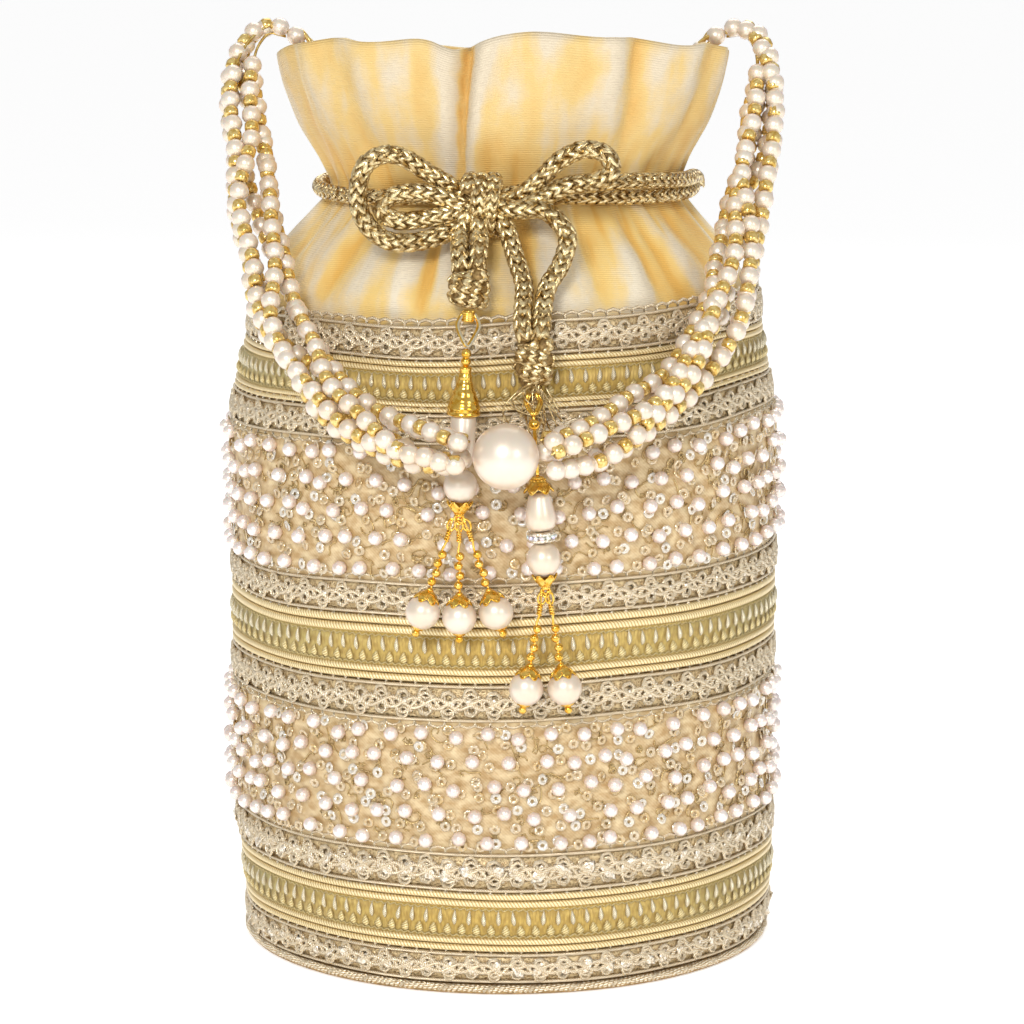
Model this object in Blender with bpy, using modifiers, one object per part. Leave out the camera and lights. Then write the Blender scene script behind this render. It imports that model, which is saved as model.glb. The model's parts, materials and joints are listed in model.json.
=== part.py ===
"""A potli bag: a round drawstring evening bag with braid bands, pearl panels, a gathered neck,
a tied cord with two tassels, and a handle of twisted pearl strands. Metres, +Z up, base at z = 0."""

from math import cos, pi, radians, sin, sqrt

import bmesh
import bpy
from mathutils import Matrix, Vector
from mathutils.geometry import interpolate_bezier

MM = 0.001
GAP = 0.0003  # the room kept between touching pieces

# Body: the wall's outer radius at each height, piecewise straight
WALL_PROFILE = [(0.0, 0.0672), (0.010, 0.0680), (0.135, 0.0680), (0.152, 0.0668), (0.172, 0.0640)]
BODY_FACETS = 28
WALL_THICKNESS = 0.0018
WALL_TOP = 0.1660
BASE_RADIUS = 0.0698
BASE_THICKNESS = 0.0022
LINING_THICKNESS = 0.0012
BOARD_THICKNESS = 0.0017

# Trim: heights of the strips in each band, from the lowest edge up
TRIM_BACK = 0.0004  # a strip's back face stands this far off the wall
TRIM_FRONT = 0.0024
PANEL_FRONT = 0.0016
BANDS = {
    "bottom": [0.0026, 0.0110, 0.0147, 0.0225, 0.0264, 0.0369],
    "middle": [0.0701, 0.0801, 0.0840, 0.0919, 0.0965, 0.1055],
    "top": [0.1401, 0.1485, 0.1512, 0.1582, 0.1614, 0.1703],
}
STRIPS = ["lower_lace", "lower_piping", "ribbon", "upper_piping", "upper_lace"]
PANELS = {"pearl_panel_lower": (0.0369, 0.0701), "pearl_panel_upper": (0.1055, 0.1401)}

# Neck: height, half-width and half-depth of each level, from the wall up to the mouth
NECK_LEVELS = [
    (0.1663, 0.0626, 0.0626),
    (0.1740, 0.0618, 0.0610),
    (0.1820, 0.0570, 0.0540),
    (0.1900, 0.0500, 0.0440),
    (0.1965, 0.0452, 0.0365),
    (0.1990, 0.0450, 0.0360),
    (0.2055, 0.0475, 0.0380),
    (0.2140, 0.0525, 0.0400),
    (0.2240, 0.0563, 0.0390),
    (0.2315, 0.0580, 0.0360),
]
NECK_FACETS = 32
NECK_THICKNESS = 0.0018
PLEATS = 8
PLEAT_DEPTH = 0.0008
RIM_RISE = 0.0050  # the mouth's front and back stand this much above its two ends

# Cord
CORD_RADIUS = 0.0022
DRAWSTRING_RADIUS = 0.0019
DRAWSTRING_HEIGHT = 0.1978
DRAWSTRING_HALF_SIZES = (0.0485, 0.0398)
CORD_STEP = 0.0048
BOW_KNOT = ((-5.2, -47.2, 200.0), (7.0, 4.9, 6.0))
END_KNOTS = {
    "end_knot_left": ((-9.1, -66.5, 179.0), (5.0, 3.7, 5.6)),
    "end_knot_right": ((6.9, -74.2, 161.0), (5.2, 3.2, 7.0)),
}
BOW_ROUTES = {
    "bow_loop_left_upper": [(-14, -48, 206), (-20, -49, 209.6), (-29.5, -50, 212.4), (-36.6, -51, 210.4),
                            (-38, -51.5, 206.4), (-33, -51.5, 203.4), (-24, -50.5, 203), (-13.6, -49, 201.2)],
    "bow_loop_left_lower": [(-13.8, -50.5, 196.2), (-24, -52, 197.4), (-33, -53, 197.8), (-38.2, -53.5, 195.4),
                            (-36.4, -54.5, 191.6), (-29.5, -55.5, 189.4), (-22, -54.8, 190.2), (-16.4, -53.6, 191.2)],
    "bow_loop_right_upper": [(2.6, -47.6, 206.4), (8, -48.2, 209.2), (14, -49, 212.2), (20.5, -50.5, 214.4),
                             (25.4, -52, 211.6), (24.6, -52.5, 206.6), (18, -51.5, 204), (11, -50.4, 202.6),
                             (4.2, -49.8, 200.4)],
    "tail_left_outer": [(-11.2, -52.6, 192.2), (-11.3, -55.6, 189), (-11.3, -60.6, 186.8)],
    "tail_left_inner": [(-6.5, -54.4, 192.6), (-6.5, -56.8, 189.4), (-6.6, -61.2, 187)],
    "tail_right_outer": [(3.0, -53.2, 196.2), (9.6, -54.6, 196.2), (15, -57.8, 190.6), (13.6, -61.4, 183.8),
                         (10.2, -65, 178.4), (9.0, -69.6, 173), (8.9, -72.6, 169.6)],
    "tail_right_inner": [(0.6, -54.4, 190.2), (2.2, -58.8, 184.6), (4.2, -63.8, 178.8), (4.2, -69.2, 173.2),
                         (4.1, -72.2, 169.9)],
}

# Handle: centre line of each half with its radius, from the mouth's end down to the large pearl
HANDLE_PIVOT = Vector((0, 0, 0.2375))
HANDLE_STEP = 0.0075
HANDLE_ROUTES = {
    "handle_strands_left": [(-57, 1, 237, 3.4), (-62.1, 0, 238, 3.6), (-66.3, -4, 233.5, 4.2),
                            (-68, -9, 226, 5.2), (-67.5, -14, 217.5, 6), (-65.8, -21, 207, 6.6),
                            (-64.2, -28, 196, 6.8), (-61, -37, 184.2, 6.8), (-58, -47, 172.4, 6.8),
                            (-54.5, -54.5, 165.9, 6.8), (-50, -60.6, 160, 6.8), (-45.4, -66.4, 154.4, 6.8),
                            (-39.3, -73.4, 149.2, 6.8), (-29.3, -82, 144.5, 6.8), (-18.6, -88.4, 141.6, 6.6),
                            (-9.6, -90.4, 140.5, 6.2)],
    "handle_strands_right": [(57, 1, 237, 3.4), (62.4, 0, 237.4, 3.6), (66, -4, 232.6, 4.2),
                             (66.6, -10, 223, 5.2), (64.2, -18, 210, 6.2), (61.2, -27, 198, 6.6),
                             (58, -38, 185, 6.8), (54.4, -51, 172, 6.8), (49, -59, 162.5, 6.8),
                             (41.4, -67, 154.6, 6.8), (31.4, -76, 148.2, 6.8), (20.6, -86, 142.8, 6.8),
                             (9.6, -90.4, 140.6, 6.2)],
}
ANCHOR_ROUTES = {
    "handle_anchor_left": [(-53.2, 1, 236.6), (-50.4, 1.6, 233), (-49.4, 2.4, 227), (-49, 3, 221)],
    "handle_anchor_right": [(53.2, 1, 236.6), (50.4, 1.6, 233), (49.4, 2.4, 227), (49, 3, 221)],
}
ANCHOR_RADIUS = 0.0023
LARGE_PEARL = (Vector((0, -0.0905, 0.1404)), 0.0080)

# Tassels: the point each one hangs from, and the heights of its beads below that point
TASSEL_SETBACK = 0.0050  # a tassel hangs this far in front of its hook
WIRE_RADIUS = 0.00045
BEAD_FACETS = 12
SMALL_FACETS = 8
DROP_PEARL_RADIUS = 0.00425
GOLD_BALL_RADIUS = 0.00105
PIN_BORE_RADIUS = 0.00085
DROP_LENGTH = 0.0248  # from a drop's ring to the middle of its pearl
DROP_SPACING = 0.0013  # between the rings of neighbouring drops
TASSELS = {
    "left": {"hinge": Vector((-0.0092, -0.0725, 0.1723)), "lean": 2.6, "drops": [-18.1, 0.0, 18.1]},
    "right": {"hinge": Vector((0.0064, -0.0755, 0.1530)), "lean": -4.0, "drops": [-9.5, 9.5]},
}


def clear_scene():
    for item in list(bpy.data.objects):
        bpy.data.objects.remove(item, do_unlink=True)


def new_collection(name):
    made = bpy.data.collections.new(name)
    bpy.context.scene.collection.children.link(made)
    return made


def principled(name, colour, roughness, metallic):
    made = bpy.data.materials.new(name)
    made.use_nodes = True
    shader = made.node_tree.nodes["Principled BSDF"]
    shader.inputs["Base Color"].default_value = (*colour, 1)
    shader.inputs["Roughness"].default_value = roughness
    shader.inputs["Metallic"].default_value = metallic
    return made


def make_materials():
    return {
        "lace": principled("silver_lace", (0.62, 0.55, 0.42), 0.40, 0.7),
        "piping": principled("pale_gold_piping", (0.80, 0.70, 0.42), 0.45, 0.5),
        "ribbon": principled("gold_ribbon", (0.72, 0.60, 0.20), 0.40, 0.4),
        "panel": principled("embroidered_satin", (0.80, 0.66, 0.42), 0.55, 0.1),
        "satin": principled("lining_satin", (0.78, 0.66, 0.42), 0.50, 0.0),
        "board": principled("board", (0.55, 0.47, 0.36), 0.80, 0.0),
        "velvet": principled("silk_velvet", (0.85, 0.66, 0.30), 0.55, 0.0),
        "cord": principled("knitted_cord", (0.66, 0.58, 0.38), 0.35, 0.8),
        "pearl": principled("pearl", (0.90, 0.86, 0.78), 0.18, 0.0),
        "gold": principled("gold", (0.86, 0.62, 0.16), 0.22, 1.0),
        "crystal": principled("crystal", (0.86, 0.86, 0.88), 0.10, 0.3),
    }


def place(name, mesh, material, collection, parent=None, location=(0, 0, 0)):
    made = bpy.data.objects.new(name, mesh)
    made.data.materials.append(material)
    made.parent = parent
    made.location = location
    collection.objects.link(made)
    return made


def lathe(name, profile, facets, material, collection, parent=None, location=(0, 0, 0), loop=False):
    """A turned piece: the profile is (radius, height) down its outer side, and a loop closes on itself."""
    mesh = bpy.data.meshes.new(name)
    edges = [(i, i + 1) for i in range(len(profile) - 1)]
    if loop:
        edges.append((len(profile) - 1, 0))
    mesh.from_pydata([(r, 0, z) for r, z in profile], edges, [])
    made = place(name, mesh, material, collection, parent, location)
    screw = made.modifiers.new("Turn", "SCREW")
    screw.steps = screw.render_steps = facets
    screw.use_merge_vertices = True
    screw.merge_threshold = 0.00001
    screw.use_smooth_shade = True
    return made


def ball(name, radii, material, collection, parent=None, location=(0, 0, 0), facets=BEAD_FACETS):
    mesh = bpy.data.meshes.new(name)
    builder = bmesh.new()
    bmesh.ops.create_uvsphere(builder, u_segments=facets, v_segments=facets * 2 // 3, radius=1)
    bmesh.ops.scale(builder, vec=radii, verts=builder.verts)
    builder.to_mesh(mesh)
    builder.free()
    mesh.shade_smooth()
    return place(name, mesh, material, collection, parent, location)


def smooth_route(points, step):
    """Points about one step apart on a smooth curve through the given ones, which may carry a radius."""
    knots = [Vector(p[:3]) * MM for p in points]
    widths = [p[3] if len(p) > 3 else 1 for p in points]
    slopes = [(knots[min(i + 1, len(knots) - 1)] - knots[max(i - 1, 0)]) / 6 for i in range(len(knots))]
    found = [(knots[0], widths[0])]
    for i in range(len(knots) - 1):
        parts = max(1, round((knots[i + 1] - knots[i]).length / step))
        bend = interpolate_bezier(knots[i], knots[i] + slopes[i], knots[i + 1] - slopes[i + 1], knots[i + 1], parts + 1)
        for j in range(1, parts + 1):
            share = j / parts
            found.append((bend[j], widths[i] * (1 - share) + widths[i + 1] * share))
    return found


def tube(name, route, radius, material, collection, parent=None, origin=Vector((0, 0, 0)), closed=False):
    """A cord or wire along (point, width) pairs, with flat ends unless it closes on itself."""
    curve = bpy.data.curves.new(name, "CURVE")
    curve.dimensions = "3D"
    curve.bevel_depth = radius
    curve.bevel_resolution = 2
    curve.use_fill_caps = True
    line = curve.splines.new("POLY")
    line.points.add(len(route) - 1)
    line.use_cyclic_u = closed
    for point, (place_at, width) in zip(line.points, route):
        point.co = (*(place_at - origin), 1)
        point.radius = width
    made = bpy.data.objects.new(name, curve)
    made.data.materials.append(material)
    made.parent = parent
    made.location = (0, 0, 0) if parent else origin
    collection.objects.link(made)
    return made


def wall_radius(height):
    for (low, low_radius), (high, high_radius) in zip(WALL_PROFILE, WALL_PROFILE[1:]):
        if height <= high:
            return low_radius + (high_radius - low_radius) * (height - low) / (high - low)
    return WALL_PROFILE[-1][1]


def band(name, low, high, inside, outside, material, collection):
    """A ring that follows the wall between two heights, with its faces these distances off the wall."""
    levels = [low] + [z for z, _ in WALL_PROFILE if low < z < high] + [high]
    outer = [(wall_radius(z) + outside, z) for z in reversed(levels)]
    inner = [(wall_radius(z) + inside, z) for z in levels]
    return lathe(name, outer + inner, BODY_FACETS, material, collection, loop=True)


def make_body(materials, collection):
    lathe(
        "base_panel",
        [(0, BASE_THICKNESS), (BASE_RADIUS, BASE_THICKNESS), (BASE_RADIUS, 0.0007), (BASE_RADIUS - 0.0007, 0), (0, 0)],
        BODY_FACETS, materials["lace"], collection,
    )
    wall_foot = BASE_THICKNESS + GAP
    band("body_wall", wall_foot, WALL_TOP, -WALL_THICKNESS, 0, materials["satin"], collection)
    outside = -WALL_THICKNESS - GAP
    inside = outside - LINING_THICKNESS
    floor_top = wall_foot + LINING_THICKNESS
    levels = [z for z, _ in WALL_PROFILE if wall_foot < z < WALL_TOP] + [WALL_TOP]
    outer = [(wall_radius(z) + outside, z) for z in reversed(levels)] + [(wall_radius(wall_foot) + outside, wall_foot)]
    inner = [(wall_radius(floor_top) + inside, floor_top)] + [(wall_radius(z) + inside, z) for z in levels]
    lathe("lining", [(0, floor_top)] + inner + outer + [(0, wall_foot)], BODY_FACETS, materials["satin"], collection)
    board_low = floor_top + GAP
    board_radius = wall_radius(floor_top) + inside - 0.0008
    lathe(
        "base_board",
        [(0, board_low + BOARD_THICKNESS), (board_radius, board_low + BOARD_THICKNESS), (board_radius, board_low), (0, board_low)],
        BODY_FACETS, materials["board"], collection,
    )


def make_trim(materials, collection):
    dress = {"lace": "lace", "piping": "piping", "ribbon": "ribbon"}
    for level, edges in BANDS.items():
        for strip, low, high in zip(STRIPS, edges, edges[1:]):
            finish = materials[dress[strip.split("_")[-1]]]
            band(f"{level}_{strip}", low + GAP / 2, high - GAP / 2, TRIM_BACK, TRIM_FRONT, finish, collection)
    for name, (low, high) in PANELS.items():
        band(name, low + GAP / 2, high - GAP / 2, TRIM_BACK, PANEL_FRONT, materials["panel"], collection)


def neck_ring(builder, level, inset):
    """One level's ring of points, with shallow pleats, and a mouth that rises at the front and back."""
    height, half_width, half_depth = level
    share = (height - NECK_LEVELS[0][0]) / (NECK_LEVELS[-1][0] - NECK_LEVELS[0][0])
    ring = []
    for i in range(NECK_FACETS):
        angle = 2 * pi * i / NECK_FACETS
        fold = PLEAT_DEPTH * cos(PLEATS * angle) * sin(pi * share)
        rise = RIM_RISE * sin(angle) ** 2 * max(0, share * 2 - 1)
        x = (half_width - inset + fold) * cos(angle)
        y = (half_depth - inset + fold) * sin(angle)
        ring.append(builder.verts.new((x, y, height + rise)))
    return ring


def make_neck(materials, collection):
    """The gathered neck: a loft through unlike ovals, as a shell that is open at the mouth and the foot."""
    builder = bmesh.new()
    outer = [neck_ring(builder, level, 0) for level in NECK_LEVELS]
    inner = [neck_ring(builder, level, NECK_THICKNESS) for level in NECK_LEVELS]
    rings = outer + inner[::-1]
    for low, high in zip(rings, rings[1:] + rings[:1]):
        bmesh.ops.bridge_loops(builder, edges=ring_edges(builder, low) + ring_edges(builder, high))
    bmesh.ops.recalc_face_normals(builder, faces=builder.faces)
    mesh = bpy.data.meshes.new("neck_fabric")
    builder.to_mesh(mesh)
    builder.free()
    mesh.shade_smooth()
    place("neck_fabric", mesh, materials["velvet"], collection)


def ring_edges(builder, ring):
    found = []
    for a, b in zip(ring, ring[1:] + ring[:1]):
        edge = builder.edges.get((a, b))
        found.append(edge or builder.edges.new((a, b)))
    return found


def make_cord(materials, collection):
    half_width, half_depth = DRAWSTRING_HALF_SIZES
    turns = [2 * pi * i / NECK_FACETS for i in range(NECK_FACETS)]
    ring = [(Vector((half_width * cos(a), half_depth * sin(a), DRAWSTRING_HEIGHT)), 1) for a in turns]
    tube("drawstring", ring, DRAWSTRING_RADIUS, materials["cord"], collection, closed=True)
    for name, (centre, radii) in {"bow_knot": BOW_KNOT, **END_KNOTS}.items():
        ball(name, Vector(radii) * MM, materials["cord"], collection, location=Vector(centre) * MM)
    for name, points in BOW_ROUTES.items():
        tube(name, smooth_route(points, CORD_STEP), CORD_RADIUS, materials["cord"], collection)


def make_handle(materials, collection):
    """The handle hangs from an empty on the line through the two places where it crosses the mouth."""
    pivot = bpy.data.objects.new("handle_pivot", None)
    pivot.location = HANDLE_PIVOT
    collection.objects.link(pivot)
    for name, points in HANDLE_ROUTES.items():
        tube(name, smooth_route(points, HANDLE_STEP), MM, materials["pearl"], collection, pivot, HANDLE_PIVOT)
    centre, radius = LARGE_PEARL
    ball("large_pearl", (radius,) * 3, materials["pearl"], collection, pivot, centre - HANDLE_PIVOT, facets=16)
    for name, points in ANCHOR_ROUTES.items():
        tube(name, smooth_route(points, CORD_STEP), ANCHOR_RADIUS, materials["pearl"], collection)


def ball_arc(middle, radius, facets=4):
    """The outer side of a ball on the turning axis, from just under its top to just over its foot."""
    return [(radius * sin(pi * i / facets), middle + radius * cos(pi * i / facets)) for i in range(1, facets)]


def hook_points(depth, width):
    """A wire loop: two legs that spread from the tassel's top and close at the cord's knot."""
    slope = -TASSEL_SETBACK
    return [(Vector(p), 1) for p in [
        (-width * 0.8, 0, -0.0002), (-width, slope * 0.35, -depth * 0.35), (-width * 0.45, slope * 0.8, -depth * 0.8),
        (0, slope, -depth), (width * 0.45, slope * 0.8, -depth * 0.8), (width, slope * 0.35, -depth * 0.35),
        (width * 0.8, 0, -0.0002)]]


def pearl_arc(middle, radius, bore, facets=8):
    """A bored pearl's closed section: its outer side down, then the bore's wall up."""
    half = sqrt(radius ** 2 - bore ** 2)
    arc = [(radius * sin(a), middle + radius * cos(a)) for a in (pi * i / facets for i in range(1, facets))]
    return [(bore, middle + half)] + arc + [(bore, middle - half)]


def make_drop(side, number, lean, hinge, tassel, materials, collection):
    """One pearl drop: a head pin with gold balls and a petal cap, and the pearl that it holds."""
    pivot = bpy.data.objects.new(f"{side}_drop_{number}_pivot", None)
    pivot.parent = tassel
    pivot.location = hinge
    pivot.rotation_euler = (0, radians(-lean), 0)
    collection.objects.link(pivot)
    pearl_top = -DROP_LENGTH + DROP_PEARL_RADIUS
    pearl_foot = -DROP_LENGTH - DROP_PEARL_RADIUS
    profile = [(0, -0.0007), (WIRE_RADIUS, -0.0007)]
    for i in range(4):
        profile += ball_arc(-0.0096 - i * 0.0024, GOLD_BALL_RADIUS)
    profile += [(WIRE_RADIUS, pearl_top + 0.0025), (0.0021, pearl_top + 0.0016), (0.0030, pearl_top + 0.0006)]
    profile += [(WIRE_RADIUS, pearl_top + 0.0006)]
    profile += [(WIRE_RADIUS, pearl_foot - 0.0003)]
    profile += ball_arc(pearl_foot - 0.0012, GOLD_BALL_RADIUS) + [(0, pearl_foot - 0.0012 - GOLD_BALL_RADIUS)]
    lathe(f"{side}_drop_{number}_pin", profile, SMALL_FACETS, materials["gold"], collection, pivot)
    section = pearl_arc(-DROP_LENGTH, DROP_PEARL_RADIUS, PIN_BORE_RADIUS)
    lathe(f"{side}_drop_{number}_pearl", section, BEAD_FACETS, materials["pearl"], collection, pivot, loop=True)


def petal_cap(top):
    """A bead cap that stands on its wide end: a ring, a waist and a flared skirt."""
    return [(0, top), (0.0009, top), (0.0013, top - 0.0008), (0.0022, top - 0.0019), (0.0029, top - 0.0030), (0, top - 0.0030)]


def cup_cap(top):
    """A bead cap that hangs from its wide end: a flared rim above a small ring."""
    return [(0, top), (0.0030, top), (0.0024, top - 0.0011), (0.0013, top - 0.0022), (0.0009, top - 0.0031), (0, top - 0.0031)]


def make_left_tassel(tassel, materials, collection):
    """From the top: wire loop, fluted cone, long bead, pearl and cap. Returns where the drops hang."""
    add = (BEAD_FACETS, materials["gold"], collection, tassel)
    front = (0, -TASSEL_SETBACK, 0)
    tube("left_tassel_hook", hook_points(0.0068, 0.0026), WIRE_RADIUS, materials["gold"], collection, tassel)
    cone = [(0, -0.0078)] + ball_arc(-0.0088, 0.0010) + ball_arc(-0.0105, 0.0010)
    cone += [(0.0016, -0.0120), (0.0018, -0.0160), (0.0025, -0.0200), (0.0036, -0.0225), (0.0041, -0.0233), (0, -0.0233)]
    lathe("left_tassel_cone", cone, *add, front)
    bead = [(0, -0.0236), (0.0028, -0.0236), (0.0031, -0.0244), (0.0031, -0.0330), (0.0020, -0.0366), (0, -0.0366)]
    lathe("left_tassel_bead", bead, BEAD_FACETS, materials["pearl"], collection, tassel, front)
    ball("left_tassel_pearl", (0.0042,) * 3, materials["pearl"], collection, tassel, (0, -TASSEL_SETBACK, -0.0412))
    lathe("left_tassel_cap", cup_cap(-0.0457), *add, front)
    return Vector((0, -TASSEL_SETBACK, -0.0491))


def make_right_tassel(tassel, materials, collection):
    """From the top: wire loop, ball on a wire, flower cap, drop bead, crystal ring, pearl and cap."""
    add = (BEAD_FACETS, materials["gold"], collection, tassel)
    pearl = (BEAD_FACETS, materials["pearl"], collection, tassel)
    front = (0, -TASSEL_SETBACK * 0.6, 0)
    tube("right_tassel_hook", hook_points(0.0042, 0.0018), WIRE_RADIUS, materials["gold"], collection, tassel)
    wire = [(0, -0.0052)] + ball_arc(-0.0066, 0.0014) + [(WIRE_RADIUS, -0.0085), (WIRE_RADIUS, -0.0196), (0, -0.0196)]
    lathe("right_tassel_wire", wire, *add, front)
    lathe("right_tassel_flower_cap", petal_cap(-0.0199), *add, front)
    drop = [(0, -0.0232), (0.0024, -0.0232), (0.0030, -0.0260), (0.0037, -0.0292), (0.0034, -0.0318), (0.0022, -0.0327), (0, -0.0327)]
    lathe("right_tassel_drop_bead", drop, *pearl, front)
    ring = [(0, -0.0330), (0.0032, -0.0330), (0.0037, -0.0338), (0.0037, -0.0346), (0.0032, -0.0354), (0, -0.0354)]
    lathe("right_tassel_crystal_ring", ring, BEAD_FACETS, materials["crystal"], collection, tassel, front)
    ball("right_tassel_pearl", (0.0042,) * 3, materials["pearl"], collection, tassel, (front[0], front[1], -0.0399))
    lathe("right_tassel_cap", cup_cap(-0.0444), *add, front)
    return Vector((0, front[1], -0.0478))


def make_tassels(materials, collection):
    for side, build in (("left", make_left_tassel), ("right", make_right_tassel)):
        sizes = TASSELS[side]
        tassel = bpy.data.objects.new(f"{side}_tassel_pivot", None)
        tassel.matrix_local = Matrix.Translation(sizes["hinge"]) @ Matrix.Rotation(radians(sizes["lean"]), 4, "Y")
        collection.objects.link(tassel)
        ring = build(tassel, materials, collection)
        middle = (len(sizes["drops"]) + 1) / 2
        for number, lean in enumerate(sizes["drops"], 1):
            hinge = ring + Vector(((number - middle) * DROP_SPACING, 0, 0))
            make_drop(side, number, lean + sizes["lean"], hinge, tassel, materials, collection)


def main():
    clear_scene()
    collection = new_collection("potli_bag")
    materials = make_materials()
    make_body(materials, collection)
    make_trim(materials, collection)
    make_neck(materials, collection)
    make_cord(materials, collection)
    make_handle(materials, collection)
    make_tassels(materials, collection)


main()
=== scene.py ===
"""The looks of a potli bag: braid bands, pearl panels, a gathered velvet neck, a knitted cord tied in a bow
with two bead tassels, and a handle of twisted pearl strands. Metres, +Z up, the bag's front towards -Y."""

import json
import logging
from dataclasses import dataclass, field
from enum import Enum
from math import cos, pi, radians, sin, tau
from typing import Callable, Sequence

import bpy
import numpy as np
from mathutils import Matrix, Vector

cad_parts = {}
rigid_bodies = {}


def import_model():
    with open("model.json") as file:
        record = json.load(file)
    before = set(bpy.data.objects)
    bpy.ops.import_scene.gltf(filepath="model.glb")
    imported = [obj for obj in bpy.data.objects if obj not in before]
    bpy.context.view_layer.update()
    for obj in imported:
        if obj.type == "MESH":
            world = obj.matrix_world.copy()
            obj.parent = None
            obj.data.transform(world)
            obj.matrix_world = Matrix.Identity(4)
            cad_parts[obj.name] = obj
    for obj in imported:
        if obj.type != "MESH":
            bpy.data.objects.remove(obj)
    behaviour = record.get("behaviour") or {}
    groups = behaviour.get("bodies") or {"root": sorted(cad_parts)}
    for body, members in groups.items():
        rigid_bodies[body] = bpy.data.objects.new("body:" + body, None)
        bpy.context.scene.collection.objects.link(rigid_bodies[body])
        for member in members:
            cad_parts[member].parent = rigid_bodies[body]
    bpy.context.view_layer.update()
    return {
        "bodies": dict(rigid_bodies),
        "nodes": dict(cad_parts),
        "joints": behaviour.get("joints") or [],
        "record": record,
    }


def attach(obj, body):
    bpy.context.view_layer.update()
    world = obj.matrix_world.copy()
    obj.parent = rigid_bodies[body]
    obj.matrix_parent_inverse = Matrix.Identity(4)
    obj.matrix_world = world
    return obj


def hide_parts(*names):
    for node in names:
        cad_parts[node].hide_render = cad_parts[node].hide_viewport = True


LOG = logging.getLogger("potli_bag")
MM = 0.001
UV_NAME = "Cloth"  # arc length and height, in millimetres
TONE = "tone"  # a share from 0 to 1 at each point, which a finish may mix its colours by; it carries painted sheen on the velvet's fold crests and painted glints on the sequins

Route = Sequence[tuple[float, float, float]]


class Slot(Enum):
    """The record's material slots; the tassel's pieces are handed one, which nothing reads."""

    LACE = "silver_lace"
    PIPING = "pale_gold_piping"
    RIBBON = "gold_ribbon"
    BASE = "base_braid"
    SATIN = "satin"
    LINING = "lining_satin"
    BOARD = "board"
    VELVET = "silk_velvet"
    PANEL = "embroidered_satin"
    CORD = "knitted_cord"
    PEARL = "pearl"
    GOLD = "gold"
    CRYSTAL = "crystal"


# ---------------------------------------------------------------- shapes


@dataclass
class Shape:
    """Points with their faces, and for each point a cloth coordinate and a tone."""

    points: np.ndarray
    quads: np.ndarray = field(default_factory=lambda: np.zeros((0, 4), int))
    tris: np.ndarray = field(default_factory=lambda: np.zeros((0, 3), int))
    uv: np.ndarray | None = None
    tone: np.ndarray | None = None

    def moved(self, turn: np.ndarray, shift: np.ndarray) -> "Shape":
        """This shape turned by a 3x3 matrix and then shifted."""
        return Shape(self.points @ np.asarray(turn).T + shift, self.quads, self.tris, self.uv, self.tone)


def grid_quads(rows: int, cols: int, close_rows: bool = False, close_cols: bool = False) -> np.ndarray:
    """The faces of a grid of points stored row by row.

    Args:
        rows: How many rows the points have.
        cols: How many points each row has.
        close_rows: Whether the last row joins the first.
        close_cols: Whether each row joins its own start.

    Returns:
        An array of four indices a face.
    """
    i = np.arange(rows if close_rows else rows - 1)[:, None]
    j = np.arange(cols if close_cols else cols - 1)[None, :]
    i2, j2 = (i + 1) % rows, (j + 1) % cols
    return np.stack([i * cols + j, i * cols + j2, i2 * cols + j2, i2 * cols + j], -1).reshape(-1, 4)


def ball(radii: tuple[float, float, float], cols: int = 14, rows: int = 9) -> Shape:
    """An ellipsoid about the origin, with small rings at its poles."""
    angles = np.linspace(0, pi, rows + 1)
    angles[0], angles[-1] = 0.02, pi - 0.02
    around = np.arange(cols) * tau / cols
    ring = np.stack([np.outer(np.sin(angles), np.cos(around)), np.outer(np.sin(angles), np.sin(around)),
                     np.repeat(np.cos(angles)[:, None], cols, 1)], -1)
    quads = grid_quads(rows + 1, cols, close_cols=True)[:, ::-1]
    tone = np.repeat(((np.cos(angles) + 1) / 2)[:, None], cols, 1).ravel()
    return Shape(ring.reshape(-1, 3) * np.array(radii), quads, tone=tone)


def turned(profile: Sequence[tuple[float, float]], sides: int = 24, flutes: int = 0,
           depth: float = 0.0) -> Shape:
    """A turned piece from (radius, height) pairs, top first.

    Args:
        profile: The section's points down its outer side.
        sides: How many points go round.
        flutes: How many ribs run down it, or 0.
        depth: How deep the ribs are, as a share of the radius.

    Returns:
        The shape, open where the profile leaves the axis.
    """
    section = np.array(profile, float)
    around = np.arange(sides) * tau / sides
    scale = 1 + depth * np.cos(flutes * around) if flutes else np.ones(sides)
    x = section[:, :1] * np.cos(around) * scale
    y = section[:, :1] * np.sin(around) * scale
    z = np.repeat(section[:, 1:2], sides, 1)
    return Shape(np.stack([x, y, z], -1).reshape(-1, 3),
                 grid_quads(len(section), sides, close_cols=True)[:, ::-1])


def line_frames(path: np.ndarray, closed: bool = False) -> tuple[np.ndarray, np.ndarray, np.ndarray]:
    """The direction and two side directions at each point of a path, carried along it without twist."""
    ahead = np.roll(path, -1, 0) - np.roll(path, 1, 0)
    if not closed:
        ahead[0], ahead[-1] = path[1] - path[0], path[-1] - path[-2]
    ahead /= np.linalg.norm(ahead, axis=1)[:, None] + 1e-12
    side = np.zeros_like(path)
    seed = np.array([0.0, 0.0, 1.0]) if abs(ahead[0][2]) < 0.9 else np.array([0.0, 1.0, 0.0])
    side[0] = seed - ahead[0] * (seed @ ahead[0])
    side[0] /= np.linalg.norm(side[0])
    for i in range(1, len(path)):
        step = side[i - 1] - ahead[i] * (side[i - 1] @ ahead[i])
        side[i] = step / (np.linalg.norm(step) + 1e-12)
    return ahead, side, np.cross(ahead, side)


def arc_lengths(path: np.ndarray) -> np.ndarray:
    """How far along the path each of its points is."""
    return np.concatenate([[0], np.cumsum(np.linalg.norm(np.diff(path, axis=0), axis=1))])


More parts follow.
